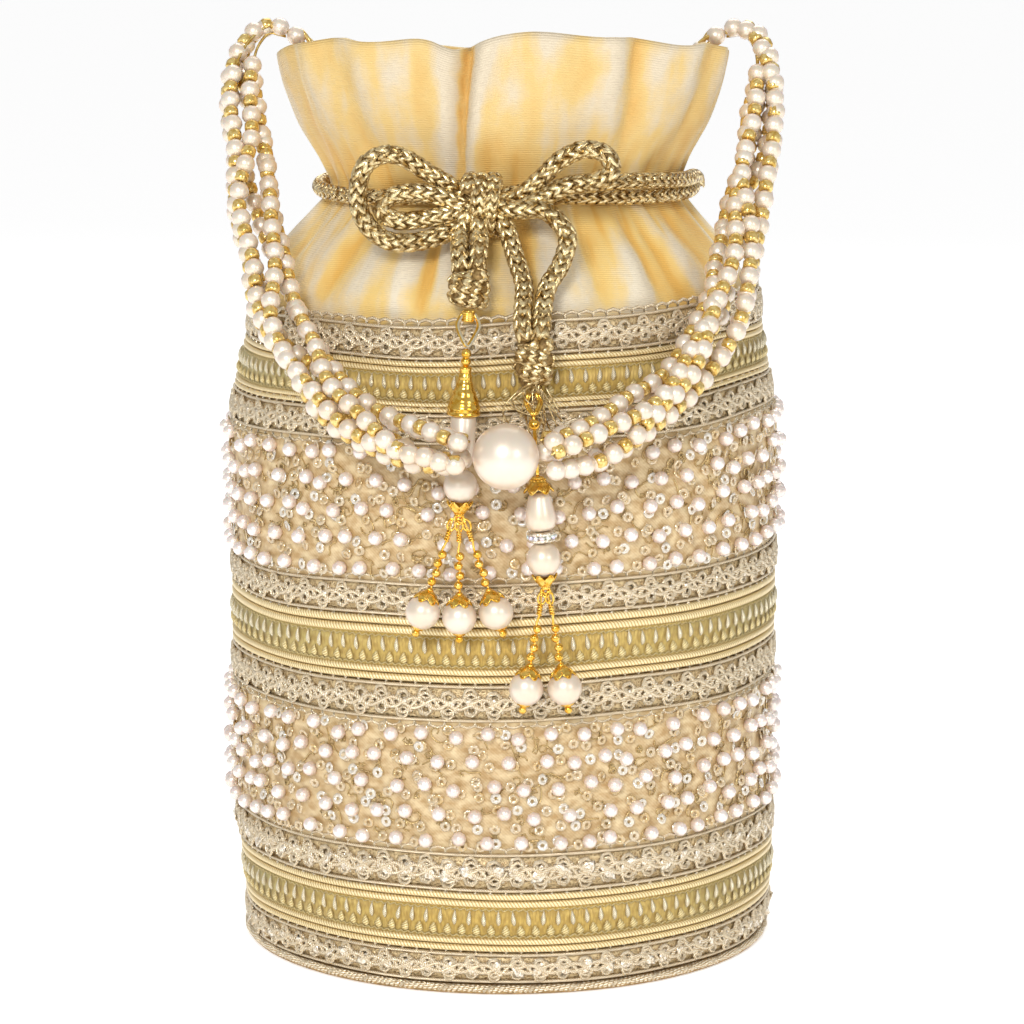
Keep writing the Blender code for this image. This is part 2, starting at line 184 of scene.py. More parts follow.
def tube(path: np.ndarray, radius: float | np.ndarray, sides: int = 8, closed: bool = False,
         flat: float = 1.0, outward: np.ndarray | None = None) -> Shape:
    """A round or flattened tube along a path, with domed ends unless it is closed.

    Args:
        path: The centre line's points.
        radius: One radius, or one at each point.
        sides: How many points go round.
        closed: Whether the path joins its own start.
        flat: The thickness across the outward direction, as a share of the width.
        outward: At each point, the direction that a flattened tube faces.

    Returns:
        The tube, with its length in the cloth coordinate.
    """
    path = np.asarray(path, float)
    size = np.broadcast_to(np.asarray(radius, float), len(path)).copy()
    ahead, side, up = line_frames(path, closed)
    if outward is not None:
        up = outward
        side = np.cross(up, ahead)
    if not closed:
        path = np.concatenate([path[:1] - ahead[:1] * size[0] * 0.3, path,
                               path[-1:] + ahead[-1:] * size[-1] * 0.3])
        side, up = (np.concatenate([d[:1], d, d[-1:]]) for d in (side, up))
        size = np.concatenate([[size[0] * 0.35], size, [size[-1] * 0.35]])
    around = np.arange(sides) * tau / sides
    ring = np.cos(around)[None, :, None] * side[:, None] + flat * np.sin(around)[None, :, None] * up[:, None]
    points = path[:, None] + ring * size[:, None, None]
    along = np.repeat(arc_lengths(path)[:, None] / MM, sides, 1)
    uv = np.stack([along, np.repeat(around[None, :], len(path), 0)], -1).reshape(-1, 2)
    quads = grid_quads(len(path), sides, close_rows=closed, close_cols=True)
    tris = np.zeros((0, 3), int)
    if not closed:
        last = (len(path) - 1) * sides
        fan = np.arange(1, sides - 1)
        tris = np.concatenate([np.stack([0 * fan, fan + 1, fan], -1),
                               np.stack([0 * fan, fan, fan + 1], -1) + last])
    return Shape(points.reshape(-1, 3), quads, tris, uv)


def copies(shape: Shape, places: np.ndarray, turns: np.ndarray | None = None,
           tones: np.ndarray | None = None) -> Shape:
    """Copies of a shape at each place.

    Args:
        shape: What is copied.
        places: One centre a copy.
        turns: One 3x3 matrix a copy, whose columns are the shape's axes.
        tones: One tone a copy.

    Returns:
        All the copies as one shape.
    """
    count, size = len(places), len(shape.points)
    points = np.broadcast_to(shape.points, (count, size, 3))
    if turns is not None:
        points = np.einsum("kij,kpj->kpi", turns, points)
    points = points + np.asarray(places)[:, None]
    step = (np.arange(count) * size)[:, None, None]
    quads = (shape.quads[None] + step).reshape(-1, 4) if len(shape.quads) else shape.quads
    tris = (shape.tris[None] + step).reshape(-1, 3) if len(shape.tris) else shape.tris
    uv = None if shape.uv is None else np.tile(shape.uv, (count, 1))
    tone = np.repeat(tones,
                     size) if tones is not None else (None
                                                      if shape.tone is None else np.tile(shape.tone, count))
    return Shape(points.reshape(-1, 3), quads, tris, uv, tone)


def smooth_path(points: Route | np.ndarray, step: float, closed: bool = False) -> np.ndarray:
    """A smooth curve through points given in millimetres, in metres, with a point about every step."""
    knots = np.asarray(points, float) * MM
    if closed:
        knots = np.concatenate([knots, knots[:1]])
        before, after = knots[-2], knots[1]
    else:
        before, after = 2 * knots[0] - knots[1], 2 * knots[-1] - knots[-2]
    padded = np.concatenate([[before], knots, [after]])
    found = []
    for p0, p1, p2, p3 in zip(padded, padded[1:], padded[2:], padded[3:]):
        count = max(2, int(np.ceil(np.linalg.norm(p2 - p1) / step)) * 2)
        t = np.linspace(0, 1, count, endpoint=False)[:, None]
        found.append(0.5 * (2 * p1 + (p2 - p0) * t + (2 * p0 - 5 * p1 + 4 * p2 - p3) * t**2
                            + (3 * p1 - p0 - 3 * p2 + p3) * t**3))
    dense = np.concatenate(found + [knots[-1:]])
    along = arc_lengths(dense)
    count = max(3, int(round(along[-1] / step)) + 1)
    wanted = np.linspace(0, along[-1], count)
    if closed:
        wanted = wanted[:-1]
    return np.stack([np.interp(wanted, along, dense[:, i]) for i in range(3)], -1)


# ---------------------------------------------------------------- finishes


Colour = tuple[float, float, float]


def linear(colour: Sequence[float]) -> tuple[float, float, float, float]:
    """A colour as it looks on a screen, turned into light."""
    red, green, blue = (channel ** 2.2 for channel in colour)
    return red, green, blue, 1.0


class Nodes:
    """A short way to lay out one material's nodes."""

    def __init__(self, name: str) -> None:
        """Starts a material with its Principled shader.

        Args:
            name: The material's name.
        """
        self.material = bpy.data.materials.new(name)
        self.material.use_nodes = True
        self.tree = self.material.node_tree
        self.shader = self.tree.nodes["Principled BSDF"]

    def add(self, kind: str, inputs: dict[str | int, object] | None = None,
            **settings: object) -> bpy.types.Node:
        """Adds a node; an input is a value, or an output socket to link."""
        node = self.tree.nodes.new("ShaderNode" + kind)
        for key, value in settings.items():
            setattr(node, key, value)
        for key, value in (inputs or {}).items():
            if isinstance(value, bpy.types.NodeSocket):
                self.tree.links.new(value, node.inputs[key])
            else:
                node.inputs[key].default_value = value
        return node

    def cloth(self) -> bpy.types.NodeSocket:
        """The cloth coordinate, in millimetres."""
        return self.add("UVMap", uv_map=UV_NAME).outputs["UV"]

    def place(self) -> bpy.types.NodeSocket:
        """The point's own place, in metres."""
        return self.add("TexCoord").outputs["Object"]

    def tone(self) -> bpy.types.NodeSocket:
        """The tone stored on the points."""
        return self.add("Attribute", attribute_name=TONE).outputs["Fac"]

    def noise(self, vector: bpy.types.NodeSocket, scale: float, detail: float = 3.0) -> bpy.types.NodeSocket:
        """A noise value from 0 to 1."""
        return self.add("TexNoise", {"Vector": vector, "Scale": scale, "Detail": detail}).outputs["Fac"]

    def stretch(self, vector: bpy.types.NodeSocket,
                scale: tuple[float, float, float]) -> bpy.types.NodeSocket:
        """The vector scaled along each axis."""
        return self.add("Mapping", {"Vector": vector, "Scale": scale}).outputs["Vector"]

    def math(self, operation: str, first: object, second: object = 0.5) -> bpy.types.NodeSocket:
        """One arithmetic step on values or sockets."""
        return self.add("Math", {0: first, 1: second}, operation=operation).outputs[0]

    def ramp(self, value: bpy.types.NodeSocket,
             stops: Sequence[tuple[float, Sequence[float]]]) -> bpy.types.NodeSocket:
        """Colours along a value from 0 to 1."""
        node = self.add("ValToRGB", {"Fac": value})
        while len(node.color_ramp.elements) < len(stops):
            node.color_ramp.elements.new(0.5)
        for element, (at, colour) in zip(node.color_ramp.elements, stops):
            element.position = at
            element.color = linear(colour)
        return node.outputs["Color"]

    def mask(self, value: bpy.types.NodeSocket, low: float, high: float,
             top: float = 1.0) -> bpy.types.NodeSocket:
        """A share that grows from 0 to the top value as a value passes from low to high."""
        node = self.add("MapRange", {"Value": value, "From Min": low, "From Max": high, "To Max": top})
        return node.outputs["Result"]

    def mix(self, share: object, first: object, second: object) -> bpy.types.NodeSocket:
        """A mix of two colours, each a socket or a colour."""
        node = self.add("Mix", data_type="RGBA")
        for index, value in ((0, share), (6, first), (7, second)):
            if isinstance(value, bpy.types.NodeSocket):
                self.tree.links.new(value, node.inputs[index])
            else:
                node.inputs[index].default_value = value if index == 0 else linear(value)
        return node.outputs[2]

    def bump(self, height: bpy.types.NodeSocket, distance: float, strength: float = 1.0) -> None:
        """Gives the shader a bump of this depth in metres."""
        node = self.add("Bump", {"Height": height, "Distance": distance, "Strength": strength})
        self.tree.links.new(node.outputs["Normal"], self.shader.inputs["Normal"])

    def set(self, **values: object) -> None:
        """Sets or links the shader's sockets, whose names have _ for each space."""
        for key, value in values.items():
            socket = self.shader.inputs[key.replace("_", " ")]
            if isinstance(value, bpy.types.NodeSocket):
                self.tree.links.new(value, socket)
            elif isinstance(value, tuple) and len(value) == 3:
                socket.default_value = linear(value)
            else:
                socket.default_value = value


@dataclass(frozen=True)
class Pearl:
    """Imitation pearl: a milky body under a smooth lustre."""

    name: str = "pearl_lustre"
    body: Colour = (0.92, 0.87, 0.80)
    warm: Colour = (0.89, 0.82, 0.72)
    roughness: float = 0.38

    def make(self) -> bpy.types.Material:
        """Makes the material."""
        n = Nodes(self.name)
        cloudy = n.noise(n.place(), 90.0, 1.0)
        n.set(Base_Color=n.mix(n.mask(cloudy, 0.35, 0.75), self.body, self.warm),
              Metallic=0.45, Roughness=self.roughness, Coat_Weight=0.8, Coat_Roughness=0.16,
              Sheen_Weight=0.25,
              Sheen_Tint=(1.0, 0.86, 0.88), Specular_IOR_Level=0.6, Subsurface_Weight=0.12,
              Subsurface_Scale=0.001)
        return n.material


@dataclass(frozen=True)
class Metal:
    """Plated metal or metallised yarn, with a little tarnish in its colour and grain in its surface."""

    name: str
    light: Colour
    dark: Colour
    roughness: float
    metallic: float = 1.0
    grain: float = 900.0
    depth: float = 0.00004

    def make(self) -> bpy.types.Material:
        """Makes the material."""
        n = Nodes(self.name)
        spots = n.noise(n.place(), self.grain, 3.0)
        share = n.mask(spots, 0.36, 0.62)
        n.set(Base_Color=n.mix(share, self.dark, self.light), Metallic=self.metallic,
              Roughness=self.roughness)
        n.bump(n.noise(n.place(), self.grain * 1.7, 2.0), self.depth, 0.5)
        return n.material


@dataclass(frozen=True)
class MetalYarn:
    """Yarn wound with metallic foil: ridges across its length in the light colour, and darker gaps between them
    as painted shade.
    """

    name: str
    light: Colour
    dark: Colour
    pitch: float = 0.55  # of the windings, in millimetres
    roughness: float = 0.34
    metallic: float = 0.75

    def make(self) -> bpy.types.Material:
        """Makes the material."""
        n = Nodes(self.name)
        cloth = n.cloth()
        turned_line = n.add("Mapping", {"Vector": cloth, "Rotation": (0, 0, radians(25))}).outputs["Vector"]
        wave = n.add("TexWave",
                     {"Vector": turned_line, "Scale": 0.314 / self.pitch, "Distortion": 0.6}).outputs["Fac"]
        patch = n.noise(n.place(), 700.0, 2.0)
        # painted shade: the colour darkens in the troughs of the winding wave, where the bump is low
        share = n.math("MULTIPLY", wave, n.math("ADD", patch, 0.35))
        n.set(Base_Color=n.ramp(share, [(0.05, self.dark), (0.62, self.light)]), Metallic=self.metallic,
              Roughness=self.roughness)
        n.bump(wave, 0.00012, 0.8)
        return n.material


@dataclass(frozen=True)
class Velvet:
    """Silk velvet: gold in its hollows and a painted sheen in cream on its crests, where the nap catches the
    light, with fine slub lines; painted shade darkens its upper rim.
    """

    name: str = "silk_velvet_cloth"
    hollow: Colour = (0.90, 0.71, 0.37)
    middle: Colour = (0.92, 0.79, 0.50)
    # painted sheen: the cream colour that the fold crests get
    crest_sheen: Colour = (0.89, 0.84, 0.74)
    slub: Colour = (0.76, 0.70, 0.62)
    shade: Colour = (0.70, 0.60, 0.46)  # painted shade that darkens the flaring rim

    def make(self) -> bpy.types.Material:
        """Makes the material."""
        n = Nodes(self.name)
        cloth = n.cloth()
        streaks = n.noise(n.stretch(cloth, (0.16, 0.035, 1)), 1.0, 4.0)
        clouds = n.noise(n.stretch(cloth, (0.075, 0.06, 1)), 1.0, 3.0)
        # painted sheen: a high tone on the fold crests turns them cream, a low one leaves the hollows gold
        nap_and_sheen = n.math("ADD", n.math("MULTIPLY", n.tone(), 0.42),
                       n.math("ADD", n.math("MULTIPLY", streaks, 0.30), n.math("MULTIPLY", clouds, 0.72)))
        colour = n.ramp(nap_and_sheen, [(0.50, self.hollow), (0.70, self.middle), (0.88, self.crest_sheen)])
        lines = n.add("TexWave", {"Vector": cloth, "Scale": 0.62, "Distortion": 1.2, "Detail": 2.0},
                      bands_direction="Y").outputs["Fac"]
        broken = n.math("MULTIPLY", n.mask(lines, 0.62, 0.9),
                        n.mask(n.noise(n.stretch(cloth, (0.5, 3.0, 1)), 1.0, 2.0), 0.46, 0.62))
        # the slub lines show only where the painted sheen is
        shown = n.math("MULTIPLY", broken, n.mask(nap_and_sheen, 0.62, 0.90, 0.6))
        # painted shade: from 34 to 48 mm of cloth height the colour is mixed up to 26% towards the shade colour
        height = n.add("SeparateXYZ", {"Vector": cloth}).outputs["Y"]
        shaded = n.mix(n.mask(height, 34, 48, 0.26), n.mix(shown, colour, self.slub), self.shade)
        n.set(Base_Color=shaded, Roughness=0.62, Sheen_Weight=0.55,
              Sheen_Roughness=0.35, Sheen_Tint=(1.0, 0.95, 0.82), Specular_IOR_Level=0.35)
        n.bump(n.math("ADD", lines,
                      n.math("MULTIPLY", n.noise(n.stretch(cloth, (2.5, 2.5, 1)), 1.0, 2.0), 0.8)),
               0.00009, 0.7)
        return n.material


@dataclass(frozen=True)
class Satin:
    """Plain satin: a fine weave of two close colours with soft clouds."""

    name: str
    light: Colour
    dark: Colour
    roughness: float = 0.45
    weave: float = 0.22  # thread pitch in millimetres

    def make(self) -> bpy.types.Material:
        """Makes the material."""
        n = Nodes(self.name)
        cloth = n.cloth()
        threads = n.add("TexWave",
                        {"Vector": cloth, "Scale": 0.314 / self.weave / 2, "Distortion": 0.8, "Detail": 1.0},
                        bands_direction="DIAGONAL").outputs["Fac"]
        clouds = n.noise(n.stretch(cloth, (0.30, 0.45, 1)), 1.0, 4.0)
        share = n.math("ADD", n.math("MULTIPLY", clouds, 0.96), n.math("MULTIPLY", threads, 0.06))
        n.set(Base_Color=n.ramp(share, [(0.36, self.dark), (0.66, self.light)]), Roughness=self.roughness,
              Sheen_Weight=0.3, Sheen_Roughness=0.4, Sheen_Tint=(1.0, 0.93, 0.8))
        n.bump(threads, 0.00003, 0.6)
        return n.material


@dataclass(frozen=True)
class Net:
    """A metallic net ground: knots and threads of champagne over brown gaps, which painted sheen lightens in
    patches.
    """

    name: str
    light: Colour
    dark: Colour
    pitch: float = 0.9

    def make(self) -> bpy.types.Material:
        """Makes the material."""
        n = Nodes(self.name)
        cells = n.add("TexVoronoi", {"Vector": n.cloth(), "Scale": 1 / self.pitch, "Randomness": 0.85},
                      feature="DISTANCE_TO_EDGE").outputs["Distance"]
        thread = n.mask(cells, 0.22, 0.06)
        # painted sheen: noise patches lighten the net between its threads
        sheen_patches = n.noise(n.cloth(), 1.3, 3.0)
        colour = n.mix(thread, n.mix(n.mask(sheen_patches, 0.42, 0.66), self.dark, self.light),
                       self.light)
        n.set(Base_Color=colour, Metallic=0.35, Roughness=0.45)
        n.bump(thread, 0.00025, 0.9)
        return n.material


@dataclass(frozen=True)
class Sequin:
    """A translucent moulded spangle: clear gold toned towards bright silver-white by its tone, with white
    spots; the silver-white and the spots are painted glints.
    """

    name: str = "sequin_spangle"
    gold: Colour = (0.88, 0.75, 0.50)
    bright: Colour = (0.97, 0.95, 0.90)

    def make(self) -> bpy.types.Material:
        """Makes the material."""
        n = Nodes(self.name)
        # painted glints: white spots mixed up to halfway towards near-white
        patch = n.noise(n.place(), 1200.0, 2.0)
        colour = n.mix(n.tone(), self.gold, self.bright)
        n.set(Base_Color=n.mix(n.mask(patch, 0.45, 0.7, 0.5), colour, (0.99, 0.97, 0.9)),
              Metallic=0.2, Roughness=0.12, Transmission_Weight=0.45, Coat_Weight=0.8, Coat_Roughness=0.04,
              Specular_IOR_Level=0.8)
        return n.material


@dataclass(frozen=True)
class RibbonCloth:
    """Woven ribbon: golden yellow with a ribbed weave, a shade greener in patches."""

    name: str = "gold_ribbon_cloth"
    yellow: Colour = (0.84, 0.71, 0.38)
    green: Colour = (0.74, 0.71, 0.46)
    shade: Colour = (0.64, 0.50, 0.24)

    def make(self) -> bpy.types.Material:
        """Makes the material."""
        n = Nodes(self.name)
        cloth = n.cloth()
        ribs = n.add("TexWave", {"Vector": cloth, "Scale": 0.8, "Distortion": 0.5}).outputs["Fac"]
        patches = n.noise(n.stretch(cloth, (0.03, 0.05, 1)), 1.0, 2.0)
        ground = n.mix(n.math("MULTIPLY", n.tone(), n.mask(patches, 0.2, 0.6)),
                       self.yellow, self.green)
        fine = n.noise(n.stretch(cloth, (1.4, 0.5, 1)), 1.0, 2.0)
        n.set(Base_Color=n.mix(n.mask(fine, 0.62, 0.40, 0.6), ground, self.shade),
              Metallic=0.2, Roughness=0.40, Sheen_Weight=0.2)
        n.bump(ribs, 0.0001, 0.8)
        return n.material


@dataclass(frozen=True)
class Board:
    """Covered board with a fine woven face."""

    name: str = "board_cover"
    light: Colour = (0.66, 0.54, 0.36)
    dark: Colour = (0.50, 0.40, 0.26)

    def make(self) -> bpy.types.Material:
        """Makes the material."""
        n = Nodes(self.name)
        grain = n.noise(n.place(), 900.0, 4.0)
        n.set(Base_Color=n.ramp(grain, [(0.35, self.dark), (0.65, self.light)]), Roughness=0.8)
        n.bump(grain, 0.0001, 0.6)
        return n.material


@dataclass(frozen=True)
class Crystal:
    """Cut stones in a silver ring, with painted reflections in random colours on their facets."""

    name: str = "crystal_stone"

    def make(self) -> bpy.types.Material:
        """Makes the material."""
        n = Nodes(self.name)
        # painted reflections: random coloured cells, a quarter of the colour, stand in for light off the facets
        painted_facet_reflections = n.add("TexVoronoi", {"Vector": n.place(), "Scale": 900.0}).outputs["Color"]
        n.set(Base_Color=n.mix(0.25, (0.92, 0.92, 0.94), painted_facet_reflections), Metallic=0.6, Roughness=0.08,
              Coat_Weight=1.0)
        return n.material


FINISHES = {
    "pearl": Pearl(),
    "small_pearl": Pearl("sewn_pearl_lustre", (0.98, 0.94, 0.91), (0.92, 0.85, 0.80), 0.32),
    "gold": Metal("bright_gold", (0.97, 0.82, 0.44), (0.88, 0.66, 0.22), 0.17),
    "seed": Metal("seed_bead_gold", (0.96, 0.85, 0.56), (0.82, 0.66, 0.32), 0.18, 0.7),
    "foil": Metal("silver_foil", (0.99, 0.96, 0.90), (0.74, 0.66, 0.54), 0.22, 0.8, 1500.0, 0.0003),
    "gimp": MetalYarn("silver_gimp", (1.0, 0.96, 0.86), (0.74, 0.61, 0.42), 0.6, 0.24, 0.5),
    "piping": MetalYarn("pale_gold_cord", (0.98, 0.91, 0.72), (0.80, 0.67, 0.42), 0.8, 0.34, 0.35),
    "stitch": MetalYarn("silver_stitch", (0.97, 0.94, 0.85), (0.76, 0.69, 0.50), 0.5, 0.25, 0.5),
    "pad": MetalYarn("pale_gold_pad", (0.93, 0.87, 0.66), (0.74, 0.62, 0.36), 0.6, 0.36, 0.35),
    "knit": Metal("knit_foil", (0.96, 0.88, 0.68), (0.56, 0.43, 0.22), 0.25, 0.85, 620.0, 0.0003),
    # painted shade: the cord's core is dark brown where it shows between the stitches
    "core": Metal("cord_core_painted_shade", (0.66, 0.54, 0.34), (0.42, 0.32, 0.17), 0.5, 0.5),
    "zari": MetalYarn("zari_thread", (0.97, 0.87, 0.64), (0.76, 0.60, 0.36), 0.5, 0.26, 0.6),
    "net": Net("lace_net", (0.92, 0.82, 0.63), (0.66, 0.53, 0.36)),
    "panel": Satin("peach_satin", (0.88, 0.79, 0.62), (0.70, 0.57, 0.38)),
    "wall": Satin("wall_satin", (0.86, 0.74, 0.54), (0.72, 0.58, 0.38)),
    "lining": Satin("lining_satin", (0.90, 0.78, 0.52), (0.80, 0.64, 0.36)),
    "velvet": Velvet(),
    "ribbon": RibbonCloth(),
    "sequin": Sequin(),
    "board": Board(),
    "crystal": Crystal(),
}


class Dresser:
    """Makes each finish's material once and builds dressed pieces."""

    def __init__(self) -> None:
        """Starts with no material made."""
        self.made: dict[str, bpy.types.Material] = {}

    def material(self, finish: str) -> bpy.types.Material:
        """The material of a finish, made when first asked for."""
        if finish not in self.made:
            self.made[finish] = FINISHES[finish].make()
        return self.made[finish]

    def piece(self, name: str, parts: Sequence[tuple[Shape, str]], body: str,
              replaces: Sequence[str] = ()) -> bpy.types.Object:
        """Joins shapes into one smooth mesh object that rides on a body.

        Args:
            name: The piece's name.
            parts: Each shape with the finish that it wears.
            body: The body that the piece rides on.
            replaces: The plain solids that it stands for.

        Returns:
            The finished object.
        """
        finishes = list(dict.fromkeys(finish for _, finish in parts))
        mesh = bpy.data.meshes.new(name)
        points = np.concatenate([s.points for s, _ in parts])
        starts = np.concatenate([[0], np.cumsum([len(s.points) for s, _ in parts])])
        quads = np.concatenate([s.quads + at for (s, _), at in zip(parts, starts)])
        tris = np.concatenate([s.tris + at for (s, _), at in zip(parts, starts)])
        finish_of = [[finishes.index(f)] * len(s.quads) for s, f in parts]
        finish_of += [[finishes.index(f)] * len(s.tris) for s, f in parts]
        corners = np.concatenate([quads.ravel(), tris.ravel()]).astype(np.int32)
        first = np.concatenate([np.arange(len(quads)) * 4, len(quads) * 4 + np.arange(len(tris)) * 3])
        mesh.vertices.add(len(points))
        mesh.vertices.foreach_set("co", points.astype(np.float32).ravel())
        mesh.loops.add(len(corners))
        mesh.loops.foreach_set("vertex_index", corners)
        mesh.polygons.add(len(first))
        mesh.polygons.foreach_set("loop_start", first.astype(np.int32))
        mesh.polygons.foreach_set("material_index", np.concatenate(finish_of).astype(np.int32))
        mesh.update(calc_edges=True)
        uv = np.concatenate([np.zeros((len(s.points), 2)) if s.uv is None else s.uv for s, _ in parts])
        layer = mesh.uv_layers.new(name=UV_NAME)
        layer.data.foreach_set("uv", uv[corners].astype(np.float32).ravel())
        tone = np.concatenate([np.zeros(len(s.points)) if s.tone is None else s.tone for s, _ in parts])
        mesh.attributes.new(TONE, "FLOAT", "POINT").data.foreach_set("value", tone.astype(np.float32))
        mesh.shade_smooth()
        for finish in finishes:
            mesh.materials.append(self.material(finish))
        made = bpy.data.objects.new(name, mesh)
        bpy.context.scene.collection.objects.link(made)
        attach(made, body)
        if replaces:
            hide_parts(*replaces)
        LOG.info("%s: %d triangles", name, len(quads) * 2 + len(tris))
        return made


# ---------------------------------------------------------------- the wall that the trims are sewn to

WALL_PROFILE = ((0.0, 0.0672), (0.010, 0.0680), (0.135, 0.0680), (0.152, 0.0668), (0.172, 0.0640))
WALL_TOP = 0.1660
TILT = 0.0024  # how much higher the hand-sewn bands sit at the right, half way up the wall


def wall_radius(z: np.ndarray) -> np.ndarray:
    """The wall's outer radius at a height."""
    heights, radii = zip(*WALL_PROFILE)
    return np.interp(z, heights, radii)


def sewn_height(theta: np.ndarray, z: np.ndarray) -> np.ndarray:
    """Where hand sewing puts a trim whose pattern height is z: bands rise to the right and waver a little."""
    grown = np.clip((z - 0.02) / 0.13, 0, 1)
    waver = 0.0004 * np.sin(3 * theta + z * 60) + 0.0003 * np.sin(7 * theta + 1.3 + z * 25)
    return z + grown * (TILT * np.cos(theta) + waver)


def side_swell(theta: np.ndarray, z: np.ndarray) -> np.ndarray:
    """How far the filled bag bulges at its two sides, a little more at its left."""
    grown = np.clip((z - 0.012) / 0.03, 0, 1) * np.clip((0.158 - z) / 0.02, 0, 1)
    return np.where(np.cos(theta) < 0, 0.0024, 0.0008) * np.cos(theta) ** 2 * grown


def on_wall(theta: np.ndarray, z: np.ndarray, offset: np.ndarray | float) -> np.ndarray:
    """Points on the wall.

    Args:
        theta: The angle about +Z from +X; the front is at -90 degrees.
        z: The pattern height.
        offset: How far outside the wall.

    Returns:
        Their places, with the cloth wall's slight unevenness in them.
    """
    theta, z = np.broadcast_arrays(np.asarray(theta, float), np.asarray(z, float))
    height = sewn_height(theta, z)
    uneven = 0.0004 * np.sin(5 * theta + 2.0) * np.sin(z * 75) + 0.00025 * np.sin(9 * theta + z * 110)
    radius = wall_radius(height) + side_swell(theta, height) + uneven + offset
    return np.stack([radius * np.cos(theta), radius * np.sin(theta), height], -1)


def wall_line(theta: np.ndarray, z: np.ndarray, offset: np.ndarray | float, width: float, thick: float,
              sides: int = 6, closed: bool = False) -> Shape:
    """A cord laid on the wall, half of its width and of its thickness to each side of its line."""
    path = on_wall(theta, z, offset)
    outward = np.stack([np.cos(theta), np.sin(theta), np.zeros_like(theta)], -1)
    ahead, _, _ = line_frames(path, closed)
    outward -= ahead * (outward * ahead).sum(1)[:, None]
    outward /= np.linalg.norm(outward, axis=1)[:, None]
    return tube(path, width / 2, sides, closed, thick / width, outward)


def wall_turns(theta: np.ndarray, spin: np.ndarray, lean: np.ndarray | None = None) -> np.ndarray:
    """For copies on the wall, matrices whose columns are along the wall, up and outward, spun and leaning."""
    out = np.stack([np.cos(theta), np.sin(theta), np.zeros_like(theta)], -1)
    along = np.stack([-np.sin(theta), np.cos(theta), np.zeros_like(theta)], -1)
    up = np.broadcast_to([0.0, 0.0, 1.0], out.shape)
    if lean is not None:
        out = out + lean[:, :1] * along + lean[:, 1:] * up
        out /= np.linalg.norm(out, axis=1)[:, None]
        along = np.cross(up, out)
        along /= np.linalg.norm(along, axis=1)[:, None]
        up = np.cross(out, along)
    c, s = np.cos(spin)[:, None], np.sin(spin)[:, None]
    return np.stack([c * along + s * up, c * up - s * along, out], -1)


def wall_strip(low: float, high: float, back: float, front: float, cols: int, rows: int,
               relief: Callable[[np.ndarray, np.ndarray], np.ndarray] | None = None) -> Shape:
    """A closed band of cloth round the wall.

    Args:
        low: Its bottom edge's pattern height.
        high: Its top edge's.
        back: How far off the wall its back lies.
        front: How far off the wall its face lies.
        cols: How many points go round.
        rows: How many rows of points its face has.
        relief: Extra height of the face at an angle and a share of its height.

    Returns:
        The band, with front, back and both edges.
    """
    theta = pi / 2 + np.arange(cols) * tau / cols
    share = np.linspace(0, 1, rows)
    both = [np.broadcast_arrays(theta[None], share[:, None]),
            np.broadcast_arrays(theta[None], share[::-1][:, None])]
    raised = relief(*both[0]) if relief else 0.0
    faces = [on_wall(both[0][0], low + (high - low) * both[0][1], front + raised),
             on_wall(both[1][0], low + (high - low) * both[1][1], back)]
    points = np.concatenate(faces)
    heights = np.concatenate([b[1] for b in both]) * (high - low) + low
    uv = np.stack([np.broadcast_to((theta + pi) * 68, heights.shape), heights / MM], -1)
    tone = np.broadcast_to(np.abs(np.cos(theta)) ** 2, heights.shape)
    quads = grid_quads(2 * rows, cols, close_rows=True, close_cols=True)
    return Shape(points.reshape(-1, 3), quads, uv=uv.reshape(-1, 2), tone=tone.ravel())


# ---------------------------------------------------------------- the bag's body


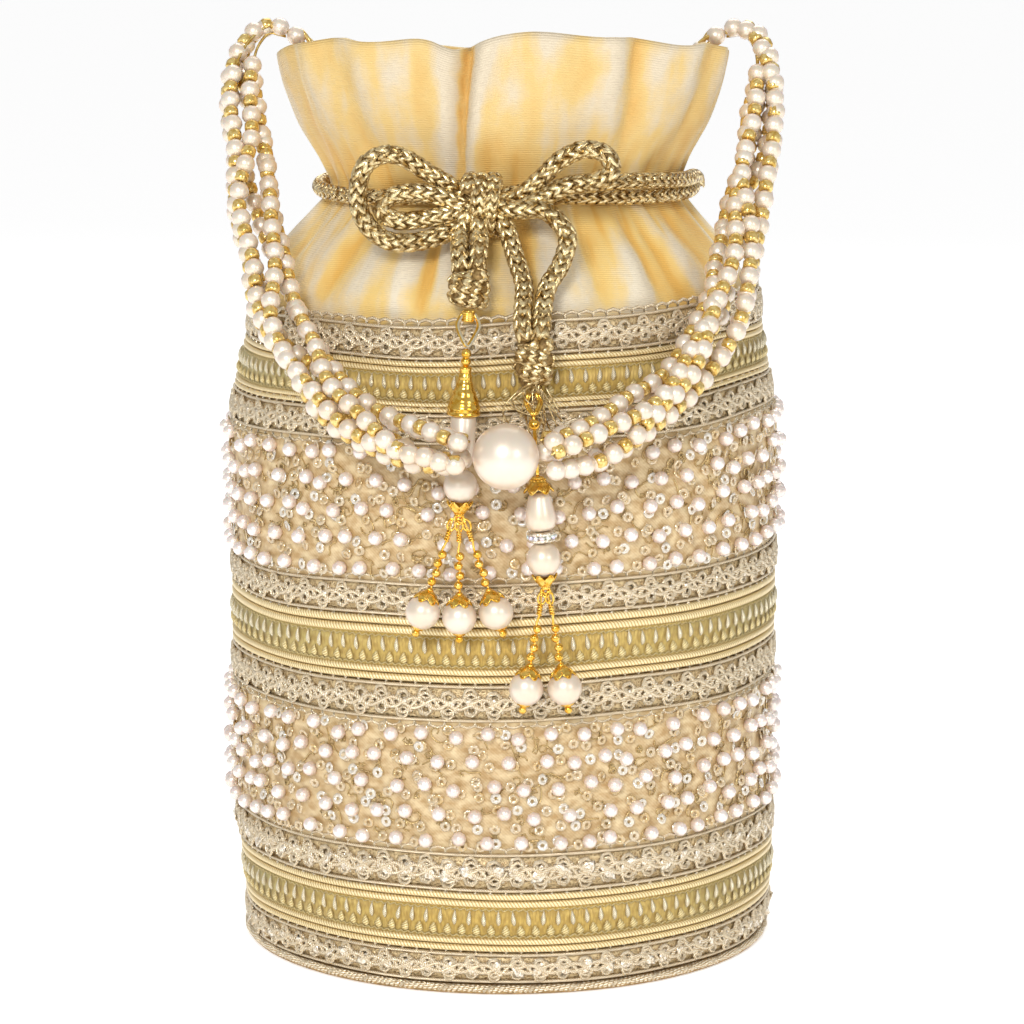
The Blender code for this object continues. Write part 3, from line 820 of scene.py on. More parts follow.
@dataclass
class BagShell:
    """The stitched cylinder: wall, lining, base panel and the board inside it."""

    base_radius: float = 0.0698
    base_thickness: float = 0.0022
    wall_thickness: float = 0.0018
    lining_thickness: float = 0.0012
    board_thickness: float = 0.0017
    gap: float = 0.0003

    def cup(self, bottom: float, inset: float, thickness: float, top: float, cols: int = 76) -> Shape:
        """A closed-sided cylinder of cloth that follows the wall.

        Args:
            bottom: Its bottom edge.
            inset: How far inside the wall's outer face it lies.
            thickness: Its thickness.
            top: Its top edge.
            cols: How many points go round.

        Returns:
            The cylinder, closed at its edges.
        """
        theta = np.arange(cols) * tau / cols
        z = np.linspace(bottom, top, 30)
        outer = [(wall_radius(h) - inset, h) for h in z]
        inner = [(wall_radius(h) - inset - thickness, h) for h in z[::-1]]
        section = np.array(outer + inner)
        radius = section[:, :1] + side_swell(theta[None], section[:, 1:])
        points = np.stack([radius * np.cos(theta), radius * np.sin(theta),
                           np.repeat(section[:, 1:], cols, 1)], -1)
        uv = np.stack(np.broadcast_arrays(theta[None] * 68, section[:, 1:] / MM), -1)
        return Shape(points.reshape(-1, 3), grid_quads(len(section), cols, True, True), uv=uv.reshape(-1, 2))

    def disc(self, radius: float, low: float, high: float, cols: int = 76) -> Shape:
        """A flat round board with softly rounded edges."""
        edge = min(0.0008, (high - low) / 2.2)
        profile = [(0.0004, high), (radius * 0.5, high), (radius - edge, high),
                   (radius - edge * 0.3, high - edge * 0.3),
                   (radius, high - edge), (radius, low + edge), (radius - edge * 0.3, low + edge * 0.3),
                   (radius - edge, low), (radius * 0.5, low), (0.0004, low)]
        made = turned(profile, cols)
        made.uv = made.points[:, :2] / MM
        return made

    def build(self, dresser: Dresser) -> None:
        """Makes the four pieces."""
        floor = self.base_thickness + self.gap
        inner = self.wall_thickness + self.gap
        dresser.piece("bag_wall", [(self.cup(floor, 0, self.wall_thickness, WALL_TOP), "wall")],
                      "bag", ["body_wall"])
        board_top = floor + self.board_thickness
        lining_floor = self.disc(wall_radius(0.004) - inner - self.gap - 0.0006, board_top + self.gap,
                                 board_top + self.gap + self.lining_thickness)
        dresser.piece("bag_lining",
                      [(self.cup(board_top + self.gap, inner, self.lining_thickness, WALL_TOP - 0.0008),
                                      "lining"), (lining_floor, "lining")], "bag", ["lining"])
        board = self.disc(wall_radius(0.004) - inner - self.gap, floor, board_top)
        dresser.piece("bag_board", [(board, "board")], "bag", ["base_board"])
        base = self.disc(self.base_radius, 0.0, self.base_thickness)
        rim_angle = np.arange(720) * tau / 720
        rolled = np.stack([(self.base_radius - 0.0007) * np.cos(rim_angle),
                           (self.base_radius - 0.0007) * np.sin(rim_angle),
                           np.full(720, 0.0014)], -1)
        twist = [rolled + 0.0006
                 * np.stack([np.cos(rim_angle) * np.cos(a), np.sin(rim_angle) * np.cos(a), np.sin(a)], -1)
                 for a in (rim_angle * 170, rim_angle * 170 + pi)]
        strands = [(tube(line, 0.0006, 6, True), "gimp") for line in twist]
        dresser.piece("bag_base", [(base, "board"), *strands], "bag", ["base_panel"])


@dataclass
class PearlPanel:
    """A satin panel sewn over with pearls, sequins and wandering metallic thread."""

    name: str
    low: float
    high: float
    seed: int
    face: float = 0.0016
    pearl: float = 0.0019
    sequin: float = 0.0015

    def scatter(self, rng: np.random.Generator, apart: float, edge: float) -> tuple[np.ndarray, np.ndarray]:
        """Places pearls in uneven staggered rows.

        Args:
            rng: The random source.
            apart: How far apart they sit.
            edge: How near the panel's edges they come.

        Returns:
            Their angles and heights.
        """
        rows = max(2, int(round((self.high - self.low - 2 * edge) / (apart * 0.92))) + 1)
        heights = np.linspace(self.low + edge, self.high - edge, rows)
        count = int(tau * 0.068 / apart)
        theta = [(np.arange(count) + 0.5 * (r % 2) + rng.normal(0, 0.11, count)) * tau / count
                 for r in range(rows)]
        z = [h + rng.normal(0, 0.0007, count) for h in heights]
        return np.concatenate(theta), np.clip(np.concatenate(z), self.low + edge * 0.8,
                                              self.high - edge * 0.8)

    def squiggles(self, rng: np.random.Generator, count: int) -> list[Shape]:
        """Short wandering lines of metallic thread that loop between the pearls."""
        made = []
        for theta, z in zip(rng.uniform(0, tau, count),
                            rng.uniform(self.low + 0.002, self.high - 0.002, count)):
            t = np.linspace(0, 1, 12)
            heading, bend, wave = rng.uniform(0, tau), rng.uniform(-20, 20), rng.uniform(1, 4)
            angle = heading + bend * t + 1.2 * np.sin(wave * t * pi)
            step = rng.uniform(0.008, 0.015) / len(t)
            x, y = np.cumsum(np.cos(angle)) * step, np.cumsum(np.sin(angle)) * step
            height = np.clip(z + y, self.low + 0.0006, self.high - 0.0006)
            made.append(wall_line(theta + x / 0.0695, height, self.face + 0.00015, 0.00052, 0.00044, 3))
        return made

    def build(self, dresser: Dresser) -> None:
        """Makes the panel with everything sewn on it."""
        rng = np.random.default_rng(self.seed)

        def puckers(theta: np.ndarray, share: np.ndarray) -> np.ndarray:
            return -0.0003 * (0.5 + 0.5 * np.sin(theta * 41 + 3 * np.sin(share * 9))) * np.sin(share * pi)

        strip = wall_strip(self.low - 0.0004, self.high + 0.0004, 0.0004, self.face, 220, 6, puckers)
        theta, z = self.scatter(rng, 0.0078, 0.0030)
        where = on_wall(theta, z, self.face + self.pearl * 0.72)
        pearls = copies(ball((self.pearl,) * 3, 8, 6), where,
                        wall_turns(theta, rng.uniform(0, tau, len(theta))))
        bits: list[tuple[Shape, str]] = [(strip, "panel"), (pearls, "small_pearl")]
        bits += [(line, "zari") for line in self.squiggles(rng, 360)]
        ring = turned([(self.sequin * r, self.sequin * h) for r, h in
                       ((0.30, 0.06), (0.52, 0.22), (0.88, 0.26), (1.0, 0.06))], 8)
        at, height = self.scatter(rng, 0.0046, 0.0020)
        at = at + rng.normal(0, 0.02, len(at))
        lean = rng.normal(0, 0.22, (len(at), 2))
        # painted glints: about one sequin in four gets the full bright silver-white tone
        bright = np.where(rng.random(len(at)) < 0.24, 1.0, rng.uniform(0, 0.4, len(at)))
        turns = wall_turns(at, rng.uniform(0, tau, len(at)), lean)
        spots = on_wall(at, height, self.face + 0.0004)
        bits.append((copies(ring, spots, turns, bright), "sequin"))
        dresser.piece(f"{self.name}_embroidery", bits, "bag", [self.name])


@dataclass
class LaceTrim:
    """A metallic lace: scrolling gimp cords with curls on a net, foil diamonds down its middle, picot edges."""

    name: str
    low: float
    high: float
    repeats: int = 38
    picots_low: bool = True
    picots_high: bool = True
    foil: float = 1.0  # the size of the foil diamonds
    back: float = 0.0004
    front: float = 0.0018

    def wave(self, phase: float, amplitude: float, offset: float) -> Shape:
        """One scrolling cord round the wall."""
        theta = np.arange(self.repeats * 12) * tau / (self.repeats * 12)
        turn = theta * self.repeats + phase
        middle, half = (self.low + self.high) / 2, (self.high - self.low) / 2
        z = middle + half * amplitude * (np.sin(turn) + 0.18 * np.sin(3 * turn))
        return wall_line(theta + 0.012 * np.sin(2 * turn), z, offset, 0.0012, 0.0011, 4, True)

    def curls(self, phase: float, level: float, flip: float) -> Shape:
        """Curled loops that fill the bays of the scroll, each one with a small open eye."""
        middle, half = (self.low + self.high) / 2, (self.high - self.low) / 2
        t = np.linspace(0, 1, 11)
        angle = t * 1.55 * tau
        size = half * (0.44 - 0.26 * t)
        local = np.stack([np.cos(angle) * size, flip * np.sin(angle) * size, 0.0003 * t], -1)
        curl = tube(local, np.linspace(0.00058, 0.00040, len(t)), 4)
        theta = (np.arange(self.repeats) + phase) * tau / self.repeats
        places = on_wall(theta, np.full(self.repeats, middle + half * level), self.front + 0.0002)
        return copies(curl, places, wall_turns(theta, np.zeros(self.repeats)))

    def diamonds(self, rng: np.random.Generator) -> Shape:
        """The row of shiny foil pieces where the two scrolls cross."""
        half = (self.high - self.low) / 2
        count = self.repeats * 2
        theta = (np.arange(count) + 0.5) * tau / count
        gem = ball((half * 0.40 * self.foil, half * 0.22 * self.foil, 0.0004), 6, 4)
        spin = rng.normal(0, 0.35, count) + pi / 5 * (-1.0) ** np.arange(count)
        places = on_wall(theta, np.full(count, (self.low + self.high) / 2), self.front + 0.0003)
        return copies(gem, places, wall_turns(theta, spin, rng.normal(0, 0.25, (count, 2))))

    def picots(self, edge: float, way: float) -> Shape:
        """A row of small loops along one edge.

        Args:
            edge: The edge's pattern height.
            way: 1 where the loops point up, -1 where they point down.

        Returns:
            The loops, as one wavy cord.
        """
        count = self.repeats * 3
        theta = np.arange(count * 4) * tau / (count * 4)
        turn = theta * count
        z = edge + way * (0.0016 * np.abs(np.cos(turn / 2)) - 0.0004)
        return wall_line(theta + 0.0105 * np.sin(turn), z, self.front - 0.0003, 0.0009, 0.0009, 4, True)

    def build(self, dresser: Dresser) -> None:
        """Makes the trim."""
        rng = np.random.default_rng(len(self.name) + int(self.low * 10000))
        ground = wall_strip(self.low + 0.0004, self.high - 0.0004, self.back, self.front - 0.0005, 180, 3)
        bits: list[tuple[Shape, str]] = [(ground, "net"), (self.wave(0, 0.62, self.front), "gimp"),
                                         (self.wave(pi, 0.62, self.front + 0.0003), "gimp")]
        for phase, level, flip in ((0.25, -0.46, 1), (0.25, 0.30, -1), (0.75, 0.46, -1), (0.75, -0.30, 1)):
            bits.append((self.curls(phase, level, flip), "gimp"))
        for phase in (pi / 2, -pi / 2):
            bits.append((self.wave(phase, 0.30, self.front + 0.0005), "gimp"))
        bits.append((self.diamonds(rng), "foil"))
        for edge, way, picots in ((self.low, -1, self.picots_low), (self.high, 1, self.picots_high)):
            if picots:
                bits.append((self.picots(edge, way), "gimp"))
            theta = np.arange(180) * tau / 180
            bits.append((wall_line(theta, np.full(180, edge - way * 0.0007), self.front, 0.0009, 0.0008, 4,
                                   True), "gimp"))
        dresser.piece(f"{self.name}_scrollwork", bits, "bag", [self.name])


@dataclass
class Piping:
    """Flat piping of several cords side by side."""

    name: str
    low: float
    high: float
    cords: int = 2
    face: float = 0.0014

    def build(self, dresser: Dresser) -> None:
        """Makes the piping."""
        theta = np.arange(240) * tau / 240
        pitch = (self.high - self.low) / self.cords
        lines = [wall_line(theta, np.full(240, self.low + (i + 0.5) * pitch), self.face, pitch * 0.94,
                           0.0017, 6, True)
                 for i in range(self.cords)]
        dresser.piece(f"{self.name}_cords", [(line, "piping") for line in lines], "bag",
                      [self.name])


@dataclass
class StitchedRibbon:
    """Gold ribbon with silver teardrop stitches over a row of pale pads, and zigzag edges."""

    name: str
    low: float
    high: float
    stitches: int = 118
    back: float = 0.0004
    front: float = 0.0015

    def teardrop(self, height: float) -> Shape:
        """One padded stitch, pointed at its top and round at its foot."""
        t = np.linspace(0, 1, 6)
        width = 0.00062 * np.sin(np.clip(t * 1.05, 0, 1) * pi) ** 0.6 * (1.25 - 0.75 * t) + 0.0001
        path = np.stack([0 * t, (t - 0.5) * height, 0.0004 * np.sin(t * pi)], -1)
        outward = np.broadcast_to([0.0, 0.0, 1.0], path.shape)
        return tube(path, width, 5, False, 0.8, outward)

    def build(self, dresser: Dresser) -> None:
        """Makes the ribbon."""
        rng = np.random.default_rng(int(self.low * 10000))
        tall = self.high - self.low
        strip = wall_strip(self.low - 0.0003, self.high + 0.0003, self.back, self.front, 180, 3)
        theta = np.arange(self.stitches) * tau / self.stitches
        swing = rng.normal(0, 0.07, self.stitches)
        upper = on_wall(theta, self.low + tall * 0.68 + rng.normal(0, 0.0001, self.stitches),
                        self.front + 0.0004)
        drops = copies(self.teardrop(tall * 0.50), upper, wall_turns(theta, swing))
        pad = self.teardrop(tall * 0.36)
        pad.points = pad.points * np.array([1.75, 1.0, 0.9])
        lower = on_wall(theta + 0.5 * tau / self.stitches, np.full(self.stitches, self.low + tall * 0.27),
                        self.front + 0.0003)
        pads = copies(pad, lower, wall_turns(theta + 0.5 * tau / self.stitches, swing))
        count = self.stitches * 2
        zig = np.arange(count * 3) * tau / (count * 3)
        bits: list[tuple[Shape, str]] = [(strip, "ribbon"), (drops, "stitch"), (pads, "pad")]
        for share in (0.06, 0.94):
            z = self.low + tall * share + 0.00035 * np.sin(zig * count)
            bits.append((wall_line(zig, z, self.front + 0.0001, 0.0005, 0.0004, 3, True), "pad"))
        dresser.piece(f"{self.name}_stitching", bits, "bag", [self.name])


@dataclass
class BagBody:
    """The shell with its three bands of trim and its two pearl panels."""

    bands: tuple[tuple[str, tuple[float, ...]], ...] = (
        ("bottom", (0.0026, 0.0110, 0.0147, 0.0225, 0.0264, 0.0369)),
        ("middle", (0.0701, 0.0801, 0.0840, 0.0919, 0.0965, 0.1055)),
        ("top", (0.1401, 0.1485, 0.1512, 0.1582, 0.1614, 0.1703)),
    )

    def build(self, dresser: Dresser) -> None:
        """Makes the shell, the trims and the panels."""
        BagShell().build(dresser)
        for name, edges in self.bands:
            lace = {"foil": 1.7} if name == "bottom" else {}
            LaceTrim(f"{name}_lower_lace", edges[0], edges[1], picots_low=name != "bottom",
                     **lace).build(dresser)
            Piping(f"{name}_lower_piping", edges[1], edges[2]).build(dresser)
            StitchedRibbon(f"{name}_ribbon", edges[2], edges[3]).build(dresser)
            Piping(f"{name}_upper_piping", edges[3], edges[4]).build(dresser)
            LaceTrim(f"{name}_upper_lace", edges[4], edges[5], **lace).build(dresser)
        for seed, (part, below, above) in enumerate((("lower", 0, 1), ("upper", 1, 2))):
            PearlPanel(f"pearl_panel_{part}", self.bands[below][1][5], self.bands[above][1][0],
                       40 + seed).build(dresser)


# ---------------------------------------------------------------- the gathered neck


@dataclass(frozen=True)
class Fold:
    """One fold of the neck: its angle at three heights, its width and how far it stands out or sinks in."""

    shoulder: float  # degrees about +Z from the front, towards +X
    waist: float
    rim: float
    width: float
    below: float  # its height in millimetres below the drawstring
    above: float  # and above it


@dataclass
class NeckFabric:
    """Silk velvet sewn inside the top of the wall and drawn in by the cord, its rim standing in folds."""

    levels: tuple[tuple[float, float, float], ...] = (
        (0.1663, 0.0626, 0.0626), (0.1740, 0.0618, 0.0610), (0.1820, 0.0570, 0.0540),
        (0.1900, 0.0500, 0.0440),
        (0.1965, 0.0452, 0.0365), (0.1990, 0.0450, 0.0360), (0.2055, 0.0475, 0.0380),
        (0.2140, 0.0525, 0.0400),
        (0.2240, 0.0563, 0.0390), (0.2315, 0.0580, 0.0360))
    waist: float = 0.1978
    thickness: float = 0.0014
    rim_rise: float = 0.0068
    cols: int = 330
    rows: int = 38
    front_folds: tuple[Fold, ...] = (
        Fold(-6, -15.5, -9.5, 1.4, -1.8, -8.0), Fold(-2, -12, -5, 2.6, 0.8, 2.6),
        Fold(-12, -19, -14.5, 3.0, 0.6, 1.4),
        Fold(-30, -32, -38, 9, 1.2, 2.6), Fold(-45, -40, -52, 5, -1.4, -2.8),
        Fold(-58, -50, -66, 7, 1.0, 2.4),
        Fold(12, 14, 10, 8, 1.0, 1.8), Fold(34, 31, 27, 4.0, 2.2, 3.6), Fold(41, 36, 36, 3.0, -2.0, -3.2),
        Fold(55, 47, 55, 7, 1.2, 2.6), Fold(66, 56, 67, 4, -1.4, -2.2), Fold(-20, -19, -20, 2.0, -2.8, 0),
        Fold(-27, -24, -27, 3.0, 1.4, 0), Fold(6, 5, 6, 2.6, -1.8, 0), Fold(24, 22, 24, 2.6, -1.8, 0),
        Fold(48, 42, 48, 3, -2.0, 0), Fold(-50, -44, -50, 3, -1.6, 0))

    def folds(self) -> list[Fold]:
        """The folds at the front, and uneven ones all round the rest."""
        rng = np.random.default_rng(7)
        found = list(self.front_folds)
        at = 72.0
        while at < 290:
            lift = rng.uniform(1.6, 3.6) * (1 if len(found) % 2 else -1)
            shift = rng.uniform(-4, 4)
            found.append(Fold(at + shift, at, at + rng.uniform(-6, 6), rng.uniform(3.4, 5.6), lift * 0.55,
                              lift))
            at += rng.uniform(8, 13)
        return found

    def surface(self) -> tuple[np.ndarray, np.ndarray, np.ndarray]:
        """The outer face.

        Returns:
            Its points as rows of columns, how far each stands out of the plain shape, and its height share.
        """
        theta = pi + np.arange(self.cols) * tau / self.cols
        share = np.linspace(0, 1, self.rows)
        table = np.array(self.levels)
        low, high = table[0, 0], table[-1, 0]
        z = low + (high - low) * share
        across, deep = (self.smoothed(z, table[:, 0], table[:, i]) for i in (1, 2))
        angle = np.degrees(theta)[None, :]  # from the front, towards +X
        down = np.clip((self.waist - z) / (self.waist - low), 0, 1)[:, None]
        rise = np.clip((z - self.waist) / (high - self.waist), 0, 1)[:, None]
        out = np.zeros((self.rows, self.cols))
        for fold in self.folds():
            centre = fold.waist + (fold.shoulder - fold.waist) * down + (fold.rim - fold.waist) * rise
            apart = (angle - centre + 180) % 360 - 180
            widened = fold.width * (1 + 0.5 * np.maximum(down, rise))
            envelope = (1.35 * fold.below * np.sin(np.clip(down * 1.15, 0, 1) * pi) ** 0.8
                        * (z < self.waist)[:, None]
                        + fold.above * rise ** 0.75)
            out += envelope * np.exp(-(np.abs(apart) / widened) ** 1.7)
        near = np.exp(-((z[:, None] - self.waist) / 0.0085) ** 2)
        ruck = 30 * theta[None] + 2.2 * np.sin(3 * theta)[None] + 1.4 * np.sin(7 * theta + 1)[None]
        out += near * (1.5 * np.abs(np.cos(ruck / 2)) ** 0.8 - 1.3)
        spread = np.exp(-((z[:, None] - self.waist) / 0.020) ** 2) * (1 - 0.6 * near)
        out += spread * 0.7 * np.cos(17 * theta + 1.1 * np.sin(4 * theta) + 0.5)[None]
        crumple = (np.sin(23 * theta[None] + z[:, None] * 330) * np.sin(11 * theta[None] - z[:, None] * 210)
                   + 0.6 * np.sin(31 * theta[None] - z[:, None] * 510))
        out += 0.22 * crumple * np.clip(down * 3, 0, 1) * (1 - down) + 0.28 * crumple * rise
        side = 1 - 0.55 * (np.abs(np.sin(theta)) ** 6)[None] * rise
        out = out * side * MM
        x = (across[:, None] + out) * np.sin(theta)[None]
        y = -(deep[:, None] + out) * np.cos(theta)[None]
        front = np.cos(theta)
        swell = np.where(front > 0, self.rim_rise * np.abs(front) ** 0.8, 0.0012 * np.abs(front))
        swell = swell + 0.0007 * np.sin(5 * theta + 0.6) + 0.0004 * np.sin(13 * theta)
        dip = -0.0030 * np.exp(-(((np.degrees(theta) + 12 + 180) % 360 - 180) / 6) ** 2)
        height = z[:, None] + rise ** 1.5 * (swell + dip)[None] + 0 * x
        return np.stack([x, y, height], -1), out, np.broadcast_to(share[:, None], out.shape)

    @staticmethod
    def smoothed(z: np.ndarray, heights: np.ndarray, values: np.ndarray) -> np.ndarray:
        """The values at heights, through a curve softened along its length."""
        fine = np.linspace(heights[0], heights[-1], 400)
        found = np.interp(fine, heights, values)
        kernel = np.hanning(41) / np.hanning(41).sum()
        return np.interp(z, fine, np.convolve(np.pad(found, 20, mode="edge"), kernel, "valid"))

    def build(self, dresser: Dresser) -> bpy.types.Object:
        outer, out, share = self.surface()
        around = np.roll(outer, -1, 1) - np.roll(outer, 1, 1)
        upward = np.gradient(outer, axis=0)
        normal = np.cross(around, upward)
        normal /= np.linalg.norm(normal, axis=2)[..., None]
        inner = (outer - normal * self.thickness)[::-1]
        points = np.concatenate([outer, inner])
        # Painted sheen and shade: the tone, which turns the velvet cream, is high on fold crests and low in
        # hollows, near the drawstring, up the rim and on the inside face, which stay gold.
        bowl = np.roll(out, 1, 1) + np.roll(out, -1, 1) - 2 * out
        crest_sheen = np.clip(0.50 + out / 0.0085 - np.clip(bowl, -1, 1) * 900, 0, 1)
        far = np.exp(-((outer[..., 2] - self.waist) / 0.012) ** 2)
        tone = np.clip(crest_sheen * (1 - 0.45 * far) + 0.08 - 0.12 * np.clip((share - 0.40) / 0.2, 0, 1), 0, 1)
        inside = np.broadcast_to(0.12, tone.shape)
        along = np.arange(self.cols) * 420.0 / self.cols
        uv = np.stack(np.broadcast_arrays(along[None], np.concatenate([share, share[::-1]]) * 70), -1)
        shape = Shape(points.reshape(-1, 3), grid_quads(2 * self.rows, self.cols, True, True),
                      uv=uv.reshape(-1, 2),
                      tone=np.concatenate([tone, inside]).ravel())
        cloth = dresser.piece("neck_velvet", [(shape, "velvet")], "bag", ["neck_fabric"])
        return cloth


# ---------------------------------------------------------------- the knitted cord


@dataclass(frozen=True)
class Knit:
    """A tubular knit of metallic yarn: columns of V stitches round a core."""

    radius: float = 0.0023
    wales: int = 5
    pitch: float = 0.0027  # of the stitches along the cord

    def shapes(self, path: np.ndarray, closed: bool = False, phase: float = 0.0) -> list[tuple[Shape, str]]:
        """The knit along a path.

        Args:
            path: The cord's centre line in metres.
            closed: Whether it joins its own start.
            phase: The angle at which the first column sits.

        Returns:
            The core and its stitches, each with its finish.
        """
        # the core's dark brown finish is painted shade between the stitches
        core = tube(path, self.radius * 0.80, 6, closed)
        line = np.concatenate([path, path[:1]]) if closed else path
        along = arc_lengths(line)
        rows = max(2, int(along[-1] / self.pitch))
        wanted = (np.arange(rows) + 0.5) * along[-1] / rows
        ahead, side, up = line_frames(line)
        at, ahead, side, up = (np.stack([np.interp(wanted, along, d[:, i]) for i in range(3)], -1)
                               for d in (line, ahead, side, up))
        legs = self.wales * 2
        angle = phase + (np.arange(legs) + 0.5) * tau / legs
        out = np.cos(angle)[None, :, None] * side[:, None] + np.sin(angle)[None, :, None] * up[:, None]
        way = np.cross(ahead[:, None], out)
        slant = np.where(np.arange(legs) % 2 == 0, 1.0, -1.0)[None, :, None] * 0.50
        long = ahead[:, None] + slant * way
        long /= np.linalg.norm(long, axis=2)[..., None]
        wide = np.cross(out, long)
        wide /= np.linalg.norm(wide, axis=2)[..., None]
        turns = np.stack([long, wide, out], -1).reshape(-1, 3, 3)
        places = (at[:, None] + out * self.radius * 0.80).reshape(-1, 3)
        leg = ball((self.pitch * 0.86, self.radius * 0.34, self.radius * 0.26), 6, 4)
        leg.uv = np.stack([leg.points[:, 0] / MM, leg.points[:, 1] / MM], -1)
        return [(core, "core"), (copies(leg, places, turns), "knit")]


@dataclass
class CordRun:
    """One run of knitted cord."""

    name: str
    route: Route
    replaces: tuple[str, ...]
    phase: float = 0.0
    declared: bool = False  # whether it is a free cord long enough to declare; nothing reads it

    def build(self, dresser: Dresser, knit: Knit) -> None:
        """Makes the run."""
        path = smooth_path(self.route, 0.0011)
        made = dresser.piece(self.name, knit.shapes(path, phase=self.phase), "bag", self.replaces)


@dataclass(frozen=True)
class Wraps:
    """Turns of cord wound about a knot's middle, in millimetres."""

    name: str
    centre: tuple[float, float, float]
    half: tuple[float, float]  # the winding's half sizes
    travel: float  # how far it moves along the axis
    turns: float
    upright: bool  # whether the winding goes round a level axis, over and under
    fray: int = 0  # loose thread ends under it

    def shapes(self, knit: Knit) -> list[tuple[Shape, str]]:
        """The wound cord with its core and any loose threads."""
        t = np.linspace(0, 1, int(26 * self.turns))
        angle = t * self.turns * tau + 0.6
        across, deep = self.half
        shift = (t - 0.5) * self.travel
        if self.upright:
            local = np.stack([shift, -deep * np.cos(angle), across * np.sin(angle)], -1)
            heart = ball((self.travel * 0.62 * MM, deep * 0.9 * MM, across * 0.9 * MM))
        else:
            local = np.stack([across * np.sin(angle), -deep * np.cos(angle), -shift], -1)
            heart = ball((across * 0.9 * MM, deep * 0.9 * MM, self.travel * 0.62 * MM))
        centre = np.array(self.centre)
        tight = Knit(knit.radius, 6, 0.0021)
        found = tight.shapes((local + centre) * MM)
        found.append((Shape(heart.points + centre * MM, heart.quads), "knit"))
        rng = np.random.default_rng(31)
        for _ in range(self.fray):
            t = np.linspace(0, 1, 12)[:, None]
            start = centre + rng.normal(0, (1.6, 0.8, 0.6)) - (0, 0, self.travel * 0.5 + 1.5)
            fall = np.array([rng.normal(1.5, 3.0), rng.uniform(-1.5, 0.5), -rng.uniform(5, 13)])
            curl = rng.normal(0, 2.0, 3) * np.array([1, 0.4, 0.4])
            found.append((tube((start + fall * t + curl * np.sin(t * pi)) * MM, 0.00022, 4), "knit"))
        return found

    def build(self, dresser: Dresser, knit: Knit) -> None:
        """Makes the knot."""
        dresser.piece(f"{self.name}_wraps", self.shapes(knit), "bag", [self.name])


